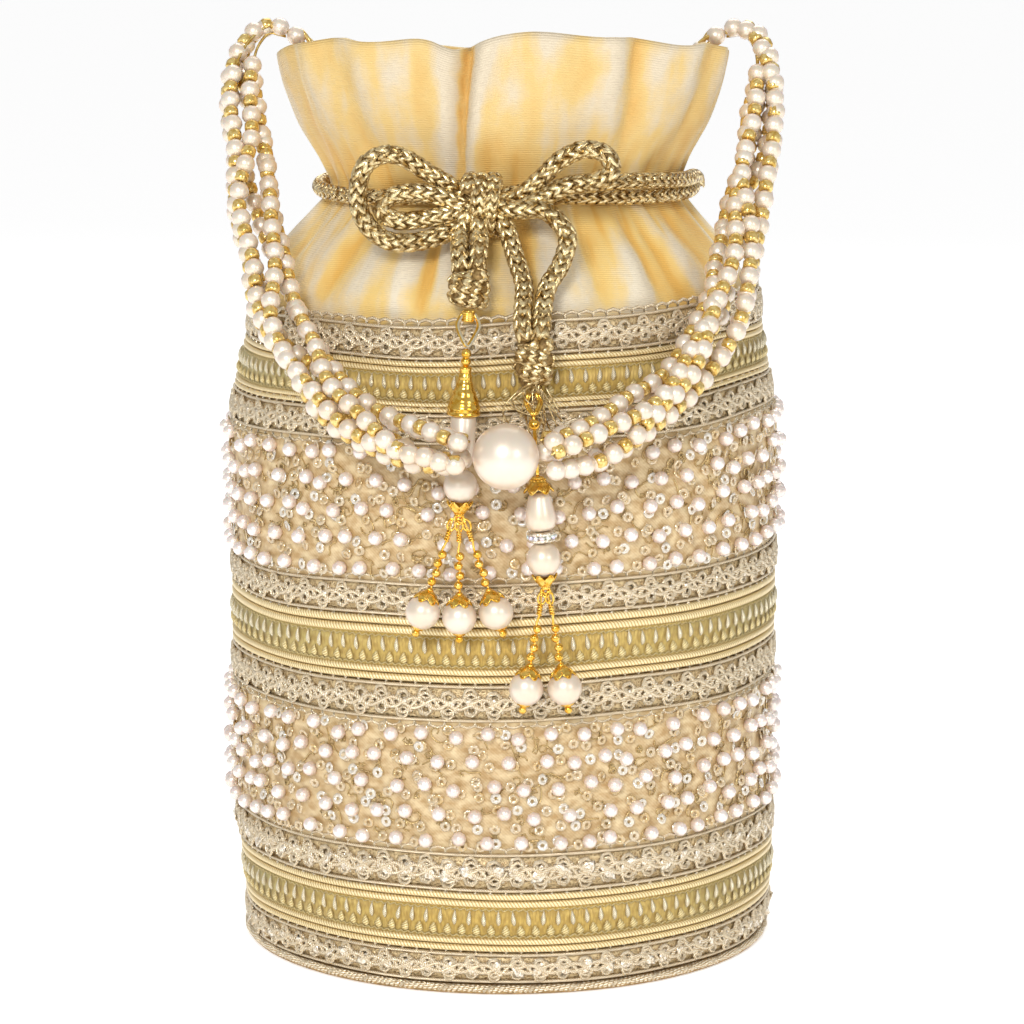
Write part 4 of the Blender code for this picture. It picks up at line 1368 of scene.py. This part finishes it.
@dataclass
class Drawstring:
    """The cord round the neck, tied at the front in a bow with knotted ends."""

    ring_height: float = 0.1978
    ring_half: tuple[float, float] = (0.0485, 0.0398)
    knit: Knit = Knit()
    runs: tuple[CordRun, ...] = (
        CordRun("bow_left_outer",
                [(-7, -48, 199), (-11, -48.4, 200.4), (-18.3, -49.5, 204.6), (-25, -50.5, 208.8),
                                   (-30, -51, 209.8), (-34.8, -51.5, 207), (-36.6, -52, 201),
                                   (-35.8, -53, 195.2),
                                   (-32.4, -54, 190.6), (-27.5, -54.8, 188.4), (-21.5, -54.8, 188.6),
                                   (-15.6, -53.6, 190.2),
                                   (-9.5, -51.6, 192.6)], ("bow_loop_left_upper",)),
        CordRun("bow_left_inner",
                [(-7, -49.6, 197), (-12, -50.2, 197.6), (-18.4, -51.4, 200), (-24.4, -52, 200.4),
                                   (-29.6, -52.4, 198.8), (-30.6, -53, 195.8), (-26.5, -53.2, 193.6),
                                   (-20, -52.6, 194),
                                   (-13.6, -51.2, 195), (-8, -50, 196)], ("bow_loop_left_lower",), 0.2),
        CordRun("bow_right_upper",
                [(-2.5, -47.4, 198), (2.6, -48.4, 198.6), (8.4, -49.4, 203.4), (13.6, -50.2, 208.4),
                                    (19.4, -51, 211), (24.6, -52, 209.8), (26, -52.6, 206),
                                    (22.2, -52.8, 203.2),
                                    (16, -52.4, 202.4), (10.6, -51.8, 199.8), (4.6, -50.8, 196.8),
                                    (-1, -49.6, 195.6)],
                ("bow_loop_right_upper",), 0.1),
        CordRun("tail_left_first",
                [(-9.5, -51, 195), (-11.2, -52.6, 192.2), (-11.3, -55.6, 189), (-11.3, -60.6, 186.8),
                                    (-11, -64, 182.5)], ("tail_left_outer",), 0.3),
        CordRun("tail_left_second",
                [(-5.5, -52, 196), (-6.5, -54.4, 192.6), (-6.5, -56.8, 189.4), (-6.6, -61.2, 187),
                                     (-7.2, -64, 182.5)], ("tail_left_inner",), 0.1),
        CordRun("tail_right_first",
                [(-2.5, -51, 197), (3, -53.2, 196.2), (9.6, -54.6, 196.2), (15, -57.8, 190.6),
                 (13.6, -61.4, 183.8),
                                     (10.2, -65, 178.4), (9, -69.6, 173), (8.7, -72.6, 169.6),
                                     (8.0, -73.8, 166.4)],
                ("tail_right_outer",), 0.25, True),
        CordRun("tail_right_second",
                [(-2.5, -51, 195), (0.2, -53.6, 191.4), (2.4, -58.6, 184.8), (4.4, -63.8, 178.8),
                 (4.2, -69.2, 173.2),
                                      (4.1, -72.2, 169.9), (5.0, -73.6, 166.4)], ("tail_right_inner",), 0.0,
                                      True))
    knots: tuple[Wraps, ...] = (
        Wraps("bow_knot", (-5.4, -49.4, 197.2), (6.0, 3.6), 7.6, 2.7, True),
        Wraps("end_knot_left", (-9.1, -66.8, 178.2), (3.0, 2.1), 6.6, 2.3, False),
        Wraps("end_knot_right", (6.9, -74.2, 161), (2.9, 1.3), 9.0, 2.6, False, 26))

    def build(self, dresser: Dresser) -> None:
        """Makes the ring, the bow, the tails and the knots."""
        theta = np.arange(300) * tau / 300
        rope = Knit(0.0020)
        ring = np.stack([self.ring_half[0] * np.cos(theta), self.ring_half[1] * np.sin(theta),
                         self.ring_height + 0.0007 * np.sin(3 * theta) + 0 * theta], -1)
        bits = rope.shapes(ring, True)
        second = smooth_path([(-2, -45.8, 199.0), (8, -44.6, 200.6), (18, -42.6, 201.6), (28, -38.6, 202.0),
                              (36, -32.6, 201.8), (42, -24.6, 201.2), (46, -15, 200.6), (48.4, -5, 200.4),
                              (49.6, 3, 199.4), (50.2, 5, 197.6)], 0.0011)
        bits += rope.shapes(second)
        dresser.piece("drawstring_ring", bits, "bag", ["drawstring"])
        for run in self.runs:
            run.build(dresser, self.knit)
        for knot in self.knots:
            knot.build(dresser, self.knit)


# ---------------------------------------------------------------- the handle


@dataclass(frozen=True)
class Strand:
    """How the beads of one strand are sized, in metres."""

    pearl: float = 0.00252
    seed_radius: float = 0.00188
    seed_length: float = 0.0026
    thread: float = 0.0004

    @property
    def pitch(self) -> float:
        """The length that one pearl and one seed bead take."""
        return 2 * self.pearl + self.seed_length * 0.92


@dataclass
class HandleHalf:
    """Half of the handle: twisted strands of pearls and gold seed beads, from the rim to the big pearl."""

    side: str
    route: tuple[tuple[float, float, float, float], ...]  # x, y, z and the bundle's radius, in millimetres
    way: float  # 1 where the bundle twists clockwise
    strands: int = 6
    twist: float = 0.7  # turns along its length
    strand: Strand = Strand()

    def lines(self) -> tuple[np.ndarray, np.ndarray, list[np.ndarray]]:
        """The bundle's centre line, its radius along it, and each strand's own line."""
        points = np.array(self.route)
        path = smooth_path(points[:, :3], 0.0012)
        marks = arc_lengths(points[:, :3] * MM)
        along = arc_lengths(path)
        radius = np.interp(along / along[-1], marks / marks[-1], points[:, 3] * MM)
        _, side, up = line_frames(path)
        found = []
        rng = np.random.default_rng(3 if self.way > 0 else 9)
        for k in range(self.strands):
            wander = 0.42 * np.sin(along * 60 + k * 2.6) + 0.20 * np.sin(along * 170 + k * 4
                                                                         + rng.uniform(0, 6))
            angle = k * tau / self.strands + self.way * self.twist * tau * along / along[-1] + wander
            reach = np.maximum(radius - self.strand.pearl,
                               0.0009) * (1.12 + 0.05 * np.sin(along * 120 + k * 1.7))
            found.append(path + reach[:, None]
                         * (np.cos(angle)[:, None] * side + np.sin(angle)[:, None] * up))
        return path, radius, found

    def build(self, dresser: Dresser) -> bpy.types.Object:
        path, radius, lines = self.lines()
        seat = ball((self.strand.pearl,) * 3, 11, 7)
        half = self.strand.seed_length / 2
        seed = turned([(self.strand.seed_radius * r, half * h) for r, h in
                       ((0.30, 0.9), (0.80, 1.0), (1.0, 0.62), (1.0, -0.62), (0.80, -1.0), (0.30, -0.9))], 9)
        bits: list[tuple[Shape, str]] = []
        rng = np.random.default_rng(17)
        for k, line in enumerate(lines):
            along = arc_lengths(line)
            width = np.interp(np.linspace(0, 1, len(along)), np.linspace(0, 1, len(radius)), radius)
            start = 0.0 if k < 2 else along[int(np.argmax(width > 0.0046))]
            count = int((along[-1] - start - 0.001) / self.strand.pitch)
            ahead, side, up = line_frames(line)
            slack = (along[-1] - start - count * self.strand.pitch) / max(count, 1)
            step = self.strand.pitch + slack
            first = start + step * (0.25 + 0.5 * (k % 2))
            for offset, bead, finish in ((0.0, seat, "pearl"), (step / 2, seed, "seed")):
                at = first + offset + np.arange(count) * step + rng.normal(0, 0.00012, count)
                at = at[at < along[-1] - 0.0002]
                places = np.stack([np.interp(at, along, line[:, i]) for i in range(3)], -1)
                turns = np.stack([np.stack([np.interp(at, along, d[:, i]) for i in range(3)], -1)
                                  for d in (side, up, ahead)], -1)
                bits.append((copies(bead, places, turns), finish))
            bits.append((tube(line, self.strand.thread, 3), "seed"))
        made = dresser.piece(f"handle_{self.side}_strands", bits, "handle",
                             [f"handle_strands_{self.side}"])
        return made


@dataclass
class Handle:
    """Two halves of twisted strands that meet at a big pearl, sewn inside the rim at both sides."""

    pearl_centre: tuple[float, float, float] = (0.0, -0.0905, 0.1404)
    pearl_radius: float = 0.0080
    left: tuple[tuple[float, float, float, float], ...] = (
        (-57, 1, 237, 3.4), (-62.1, 0, 238, 3.6), (-66.3, -4, 233.5, 4.2), (-68, -9, 226, 5.2),
        (-67.5, -14, 217.5, 6),
        (-65.8, -21, 207, 6.6), (-64.2, -28, 196, 6.8), (-61, -37, 184.2, 6.8), (-58, -47, 172.4, 6.8),
        (-54.5, -54.5, 165.9, 6.8), (-50, -60.6, 160, 6.8), (-45.4, -66.4, 154.4, 6.8),
        (-39.3, -73.4, 149.2, 6.8),
        (-29.3, -82, 144.5, 6.8), (-18.6, -88.4, 141.6, 6.6), (-9.6, -90.4, 140.5, 6.2))
    right: tuple[tuple[float, float, float, float], ...] = (
        (57, 1, 237, 3.4), (62.4, 0, 237.4, 3.6), (66, -4, 232.6, 4.2), (66.6, -10, 223, 5.2),
        (64.2, -18, 210, 6.2),
        (61.2, -27, 198, 6.6), (58, -38, 185, 6.8), (54.4, -51, 172, 6.8), (49, -59, 162.5, 6.8),
        (41.4, -67, 154.6, 6.8),
        (31.4, -76, 148.2, 6.8), (20.6, -86, 142.8, 6.8), (9.6, -90.4, 140.6, 6.2))

    def build(self, dresser: Dresser) -> None:
        """Makes the big pearl, both halves and the threads that anchor them."""
        radius = self.pearl_radius
        pearl = ball((radius, radius, radius), 40, 26).moved(np.eye(3), np.array(self.pearl_centre))
        dresser.piece("handle_big_pearl", [(pearl, "pearl")], "handle", ["large_pearl"])
        HandleHalf("left", self.left, 1.0).build(dresser)
        HandleHalf("right", self.right, -1.0).build(dresser)
        for side, sign in (("left", -1), ("right", 1)):
            route = [(sign * 55.2, 1, 237.2), (sign * 53.2, 1, 236.6), (sign * 50.4, 1.6, 233),
                     (sign * 49.4, 2.4, 227),
                     (sign * 49, 3, 221)]
            path = smooth_path(route, 0.001)
            _, aside, up = line_frames(path)
            bits: list[tuple[Shape, str]] = []
            for k in range(3):
                angle = k * tau / 3 + arc_lengths(path) * 260
                line = path + 0.0011 * (np.cos(angle)[:, None] * aside + np.sin(angle)[:, None] * up)
                bits.append((tube(line, 0.0006, 7), "seed"))
            seats = np.array([(sign * 54.4, 1, 236.4), (sign * 50.4, 1.8, 232.6)]) * MM
            bits.append((copies(ball((0.00252,) * 3, 14, 9), seats), "pearl"))
            dresser.piece(f"handle_anchor_{side}_threads", bits, "bag", [f"handle_anchor_{side}"])


# ---------------------------------------------------------------- the tassels


def around_y(degrees: float) -> np.ndarray:
    """A turn about +Y."""
    a = radians(degrees)
    return np.array([[cos(a), 0, sin(a)], [0, 1, 0], [-sin(a), 0, cos(a)]])


def pearl_ball(radius: float, height: float, stretch: float = 1.0) -> Shape:
    """A pearl at a height on the axis."""
    return ball((radius, radius, radius * stretch), 24, 16).moved(np.eye(3), np.array([0, 0, height]))


def wire_loop(centre: float, width: float, height: float, wire: float, depth: float = 0.0) -> Shape:
    """A closed oval loop of wire in the front plane, about a height on the axis."""
    t = np.arange(28) * tau / 28
    path = np.stack([width / 2 * np.sin(t), depth * np.cos(t), centre + height / 2 * np.cos(t)], -1)
    return tube(path, wire, 8, True)


def coil(top: float, length: float, radius: float, turns: float, wire: float) -> Shape:
    """Wire wound round the axis, downwards from its top."""
    t = np.linspace(0, 1, int(18 * turns))
    path = np.stack([radius * np.cos(t * turns * tau), radius * np.sin(t * turns * tau), top - length * t],
                    -1)
    return tube(path, wire, 7)


def petals(top: float, height: float, inner: float, outer: float, count: int, way: int) -> list[Shape]:
    """A bead cap of cupped petals with beaded rims.

    Args:
        top: The height of its upper end.
        height: How tall it is.
        inner: Its radius at the narrow end.
        outer: Its radius at the petals' tips.
        count: How many petals it has.
        way: 1 where the petals open downwards, -1 where they open upwards.

    Returns:
        The cap's collar, its petals and their rims.
    """
    made = []
    rows, cols = 5, 7
    t, s = np.linspace(0, 1, rows)[:, None], np.linspace(-1, 1, cols)[None, :]
    for k in range(count):
        reach = inner + (outer - inner) * (t ** 0.7) + 0.0 * s
        half = (pi / count) * 1.02 * np.sqrt(np.clip(1 - (np.clip(t - 0.45, 0, 1) / 0.58) ** 2, 0.02, 1))
        angle = k * tau / count + half * s
        fall = height * (t - 0.10 * (s ** 2) * t)
        z = top - fall if way > 0 else top - height + fall
        outer_face = np.stack([reach * np.cos(angle), reach * np.sin(angle), z + 0 * angle], -1)
        inner_face = outer_face * np.array([0.86, 0.86, 1.0]) + np.array([0, 0, -0.00002])
        both = np.concatenate([outer_face, inner_face[::-1]])
        made.append(Shape(both.reshape(-1, 3), grid_quads(2 * rows, cols, close_rows=True)))
        edge = np.concatenate([outer_face[2:, 0], outer_face[-1, 1:-1], outer_face[2:, -1][::-1]])
        made.append(tube(edge, 0.00022, 4))
    end = top if way > 0 else top - height
    made.append(ball((inner * 1.25, inner * 1.25, 0.0005), 14, 6).moved(np.eye(3), np.array([0, 0, end])))
    beads = np.arange(count * 2) * tau / (count * 2)
    level = np.stack([inner * 1.35 * np.cos(beads), inner * 1.35 * np.sin(beads),
                      np.full(len(beads), end - way * 0.0005)], -1)
    made.append(copies(ball((0.00032,) * 3, 6, 4), level))
    return made


@dataclass
class PearlDrop:
    """One drop: a wire with four gold balls and a petal cap, and the pearl under it."""

    body: str
    place: np.ndarray  # where its ring hangs
    lean: float  # the turn about +Y at rest
    length: float = 0.0248
    pearl: float = 0.00425

    def build(self, dresser: Dresser) -> None:
        """Makes the drop's two pieces."""
        top, foot = -self.length + self.pearl, -self.length - self.pearl
        wobble = np.linspace(-0.0004, top + 0.001, 18)
        wire = np.stack([0.00022 * np.sin(wobble * 900), 0.00022 * np.cos(wobble * 700), wobble], -1)
        metal = [tube(wire, 0.00033, 6), wire_loop(-0.0018, 0.0019, 0.0030, 0.00030),
                 coil(-0.0034, 0.0026, 0.0005, 4, 0.00026)]
        metal += [ball((0.00112,) * 3, 14, 9).moved(np.eye(3),
                                                    np.array([0.0002 * (-1) ** i, 0, -0.0096 - i * 0.0024]))
                  for i in range(4)]
        metal += petals(top + 0.0017, 0.0030, 0.0007, 0.0031, 6, 1)
        metal += petals(foot + 0.0007, 0.0014, 0.0005, 0.0017, 5, -1)
        metal.append(ball((0.0010,) * 3, 12, 8).moved(np.eye(3), np.array([0, 0, foot - 0.0012])))
        turn = around_y(self.lean)
        dresser.piece(f"{self.body}_wirework", [(m.moved(turn, self.place), "gold") for m in metal],
                      self.body,
                      [f"{self.body}_pin"])
        dresser.piece(f"{self.body}_pearl_bead",
                      [(pearl_ball(self.pearl, -self.length).moved(turn, self.place), "pearl")],
                      self.body, [f"{self.body}_pearl"])


@dataclass
class Tassel:
    """A hanging line of beads under one of the cord's knots, with pearl drops at its foot."""

    side: str
    hinge: tuple[float, float, float]
    lean: float
    setback: float
    drop_level: float
    drop_leans: tuple[float, ...]
    spacing: float = 0.0013

    def put(self, dresser: Dresser, name: str, parts: Sequence[tuple[Shape, str]], slot: Slot,
            stands_for: str,
            forward: bool = True) -> None:
        """Adds one piece of the tassel, whose shapes are about the tassel's own axis."""
        turn = around_y(self.lean)
        shift = np.array(self.hinge) + turn @ np.array([0, -self.setback if forward else 0.0, 0])
        dresser.piece(f"{self.side}_tassel_{name}",
                      [(shape.moved(turn, shift), finish) for shape, finish in parts],
                      f"{self.side}_tassel", [f"{self.side}_tassel_{stands_for}"])

    def hook_line(self, depth: float, width: float) -> np.ndarray:
        """The wire loop from the tassel's top up to the knot and back."""
        points = [(-width * 0.5, 0, 0.6), (-width * 0.8, -0.4, -0.6),
                  (-width, -1.75 * self.setback / 0.005, -depth * 0.35),
                  (-width * 0.45, -4 * self.setback / 0.005, -depth * 0.8), (0, -self.setback / MM, -depth)]
        mirrored = [(-x, y, z) for x, y, z in points[-2::-1]]
        return smooth_path(points + mirrored, 0.0006)

    def build_drops(self, dresser: Dresser) -> None:
        """Adds the pearl drops."""
        turn = around_y(self.lean)
        middle = (len(self.drop_leans) + 1) / 2
        for number, lean in enumerate(self.drop_leans, 1):
            local = np.array([(number - middle) * self.spacing, -self.setback, self.drop_level])
            PearlDrop(f"{self.side}_drop_{number}", np.array(self.hinge) + turn @ local, -lean).build(dresser)


@dataclass
class LeftTassel(Tassel):
    """Loop, two balls, a ribbed bell-shaped cone, a long bead, a pearl and a cap with three drops."""

    def build(self, dresser: Dresser) -> None:
        """Makes the tassel."""
        hook = self.hook_line(6.8, 2.6)
        wrap = np.linspace(0, 1, 60)
        binding = np.stack([0.0012 * np.cos(wrap * 5 * tau), 0.0010 * np.sin(wrap * 5 * tau) - 0.0003,
                            0.0010 - 0.0022 * wrap], -1)
        self.put(dresser, "loop",
                 [(tube(hook, 0.00042, 7), "gold"), (tube(hook + [0.0004, -0.0006, 0], 0.0003, 5), "stitch"),
                                   (tube(binding, 0.00045, 6), "gold")], Slot.GOLD, "hook", forward=False)
        t = np.linspace(0, 1, 31)
        reach = 0.0014 + 0.0027 * np.sin(t * pi / 2) ** 2.6 + 0.00009 * np.sin(t * 6 * tau)
        bell = [(float(r), float(-0.0119 - 0.0113 * share)) for r, share in zip(reach, t)]
        cone = [turned([(0.0003, -0.0116), *bell, (0.0042, -0.0235), (0.0037, -0.0238), (0.0004, -0.0230)],
                       28)]
        cone += [ball((0.00125,) * 3, 14, 9).moved(np.eye(3), np.array([0, 0, z]))
                 for z in (-0.0087, -0.0106)]
        self.put(dresser, "trumpet", [(part, "gold") for part in cone], Slot.GOLD, "cone")
        bead = turned([(0.0006, -0.0236), (0.0027, -0.0237), (0.0031, -0.0243), (0.0031, -0.0330),
                       (0.0028, -0.0350),
                       (0.0021, -0.0364), (0.0006, -0.0367)], 32)
        self.put(dresser, "long_bead", [(bead, "pearl")], Slot.PEARL, "bead")
        self.put(dresser, "round_pearl", [(pearl_ball(0.0042, -0.0412), "pearl")], Slot.PEARL, "pearl")
        cap = petals(-0.0449, 0.0036, 0.0008, 0.0031, 6, -1)
        cap += [wire_loop(-0.0492, 0.0022, 0.0022, 0.00032),
                wire_loop(-0.0496, 0.0014, 0.0020, 0.00030, 0.0006)]
        self.put(dresser, "foot_cap", [(part, "gold") for part in cap], Slot.GOLD, "cap")
        self.build_drops(dresser)


@dataclass
class RightTassel(Tassel):
    """Hook, ball, flower cap, teardrop bead, ring of stones, petal cap, pearl and a cap with two drops."""

    def build(self, dresser: Dresser) -> None:
        """Makes the tassel."""
        hook = self.hook_line(4.2, 1.8)
        self.put(dresser, "hook_wire",
                 [(tube(hook, 0.00045, 8), "gold"), (tube(hook + [0.0006, -0.0004, 0], 0.00022, 6), "gold")],
                 Slot.GOLD, "hook", forward=False)
        stem = np.array([[0, 0, z] for z in np.linspace(-0.0044, -0.0196, 14)])
        self.put(dresser, "ball_wire",
                 [(pearl_ball(0.0014, -0.0066), "gold"), (tube(stem, 0.00045, 8), "gold")],
                 Slot.GOLD, "wire")
        flower = petals(-0.0197, 0.0036, 0.0013, 0.0036, 6,
                        1) + [turned([(0.0009, -0.0197), (0.0016, -0.0203), (0.0021, -0.0213),
                                                                       (0.0024, -0.0222),
                                                                       (0.0010, -0.0226)], 24, 6, 0.10)]
        self.put(dresser, "flower", [(part, "gold") for part in flower], Slot.GOLD, "flower_cap")
        bead = turned([(0.0005, -0.0232), (0.0022, -0.0234), (0.0027, -0.0245), (0.0031, -0.0262),
                       (0.0036, -0.0285),
                       (0.0038, -0.0303), (0.0035, -0.0317), (0.0026, -0.0326), (0.0006, -0.0328)], 32)
        self.put(dresser, "teardrop_bead", [(bead, "pearl")], Slot.PEARL, "drop_bead")
        angle = np.arange(12) * tau / 12
        seats = np.stack([0.0030 * np.cos(angle), 0.0030 * np.sin(angle), np.full(12, -0.0342)], -1)
        turns = np.stack([np.stack([-np.sin(angle), np.cos(angle), 0 * angle], -1),
                          np.stack([0 * angle, 0 * angle, 1 + 0 * angle], -1),
                          np.stack([np.cos(angle), np.sin(angle), 0 * angle], -1)], -1)
        stones = copies(ball((0.00085, 0.00085, 0.0008), 6, 4), seats, turns)
        band = [turned([(0.0016, z + 0.0005), (0.0034, z + 0.0004), (0.0037, z), (0.0034, z - 0.0004),
                        (0.0016, z - 0.0005)], 36)
                for z in (-0.0334, -0.0350)]
        self.put(dresser, "stones", [(stones, "crystal"), *[(b, "foil") for b in band]], Slot.CRYSTAL,
                 "crystal_ring")
        crown = petals(-0.0356, 0.0026, 0.0008, 0.0030, 6, 1)
        self.put(dresser, "oval_pearl",
                 [(pearl_ball(0.0042, -0.0400, 1.06), "pearl"), *[(part, "gold") for part in crown]],
                 Slot.PEARL, "pearl")
        cap = petals(-0.0436, 0.0035, 0.0008, 0.0030, 6, -1)
        cap += [wire_loop(-0.0479, 0.0022, 0.0022, 0.00032),
                wire_loop(-0.0483, 0.0014, 0.0020, 0.00030, 0.0006)]
        self.put(dresser, "foot_cap", [(part, "gold") for part in cap], Slot.GOLD, "cap")
        self.build_drops(dresser)


# ---------------------------------------------------------------- the studio


@dataclass
class Studio:
    """The view, the pale floor and the soft lights."""

    lens: float = 134.86
    place: tuple[float, float, float] = (0.0015, -1.0, 0.2845)
    tilt: float = 80.173

    def build(self) -> None:
        """Makes the camera, the floor, the world and the lights."""
        data = bpy.data.cameras.new("View")
        data.lens, data.sensor_width = self.lens, 36.0
        camera = bpy.data.objects.new("View", data)
        camera.location = self.place
        camera.rotation_euler = (radians(self.tilt), 0, 0)
        bpy.context.scene.collection.objects.link(camera)
        bpy.context.scene.camera = camera
        self.floor()
        self.world()
        bpy.context.scene.view_settings.view_transform = "Standard"
        self.light("Key", (-0.26, -1.20, 0.72), 0.34, 8.8)
        self.light("Fill", (0.75, -0.95, 0.50), 0.40, 2.0)
        self.light("Back", (0.10, 0.80, 1.00), 0.90, 5.0)

    def floor(self) -> None:
        """Makes the pale floor, a flat square plane."""
        mesh = bpy.data.meshes.new("Floor")
        reach = 14.0
        mesh.from_pydata([(-reach, -reach, 0), (reach, -reach, 0), (reach, reach, 0), (-reach, reach, 0)],
                         [], [(0, 1, 2, 3)])
        floor = bpy.data.objects.new("Floor", mesh)
        floor.location.z = -0.0002
        bpy.context.scene.collection.objects.link(floor)
        n = Nodes("floor_paper")
        n.set(Base_Color=(0.97, 0.97, 0.97), Roughness=0.9, Emission_Color=(1.0, 1.0, 1.0),
              Emission_Strength=0.50)
        mesh.materials.append(n.material)

    def world(self) -> None:
        """Sets a plain white surround."""
        world = bpy.data.worlds.new("Surround")
        world.use_nodes = True
        background = world.node_tree.nodes["Background"]
        background.inputs["Color"].default_value = (1, 1, 1, 1)
        background.inputs["Strength"].default_value = 0.50
        bpy.context.scene.world = world

    def light(self, name: str, place: tuple[float, float, float], size: float, power: float) -> None:
        """Adds a square soft light that faces the bag."""
        data = bpy.data.lights.new(name, "AREA")
        data.size, data.energy = size, power
        light = bpy.data.objects.new(name, data)
        light.location = place
        light.rotation_euler = (Vector((0, 0, 0.12)) - Vector(place)).to_track_quat("-Z", "Y").to_euler()
        bpy.context.scene.collection.objects.link(light)


def main() -> None:
    """Builds the bag."""
    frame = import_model()
    LOG.info("loaded %s", type(frame).__name__)
    dresser = Dresser()
    Studio().build()
    Drawstring().build(dresser)
    Handle().build(dresser)
    BagBody().build(dresser)
    NeckFabric().build(dresser)
    LeftTassel("left", (-0.0092, -0.0725, 0.1723), 2.6, 0.0050, -0.0491, (-18.1, 0.0, 18.1)).build(dresser)
    RightTassel("right", (0.0064, -0.0755, 0.1530), -4.0, 0.0030, -0.0478, (-9.5, 9.5)).build(dresser)


if __name__ == "__main__":
    logging.basicConfig(level=logging.INFO, format="%(message)s")
    main()
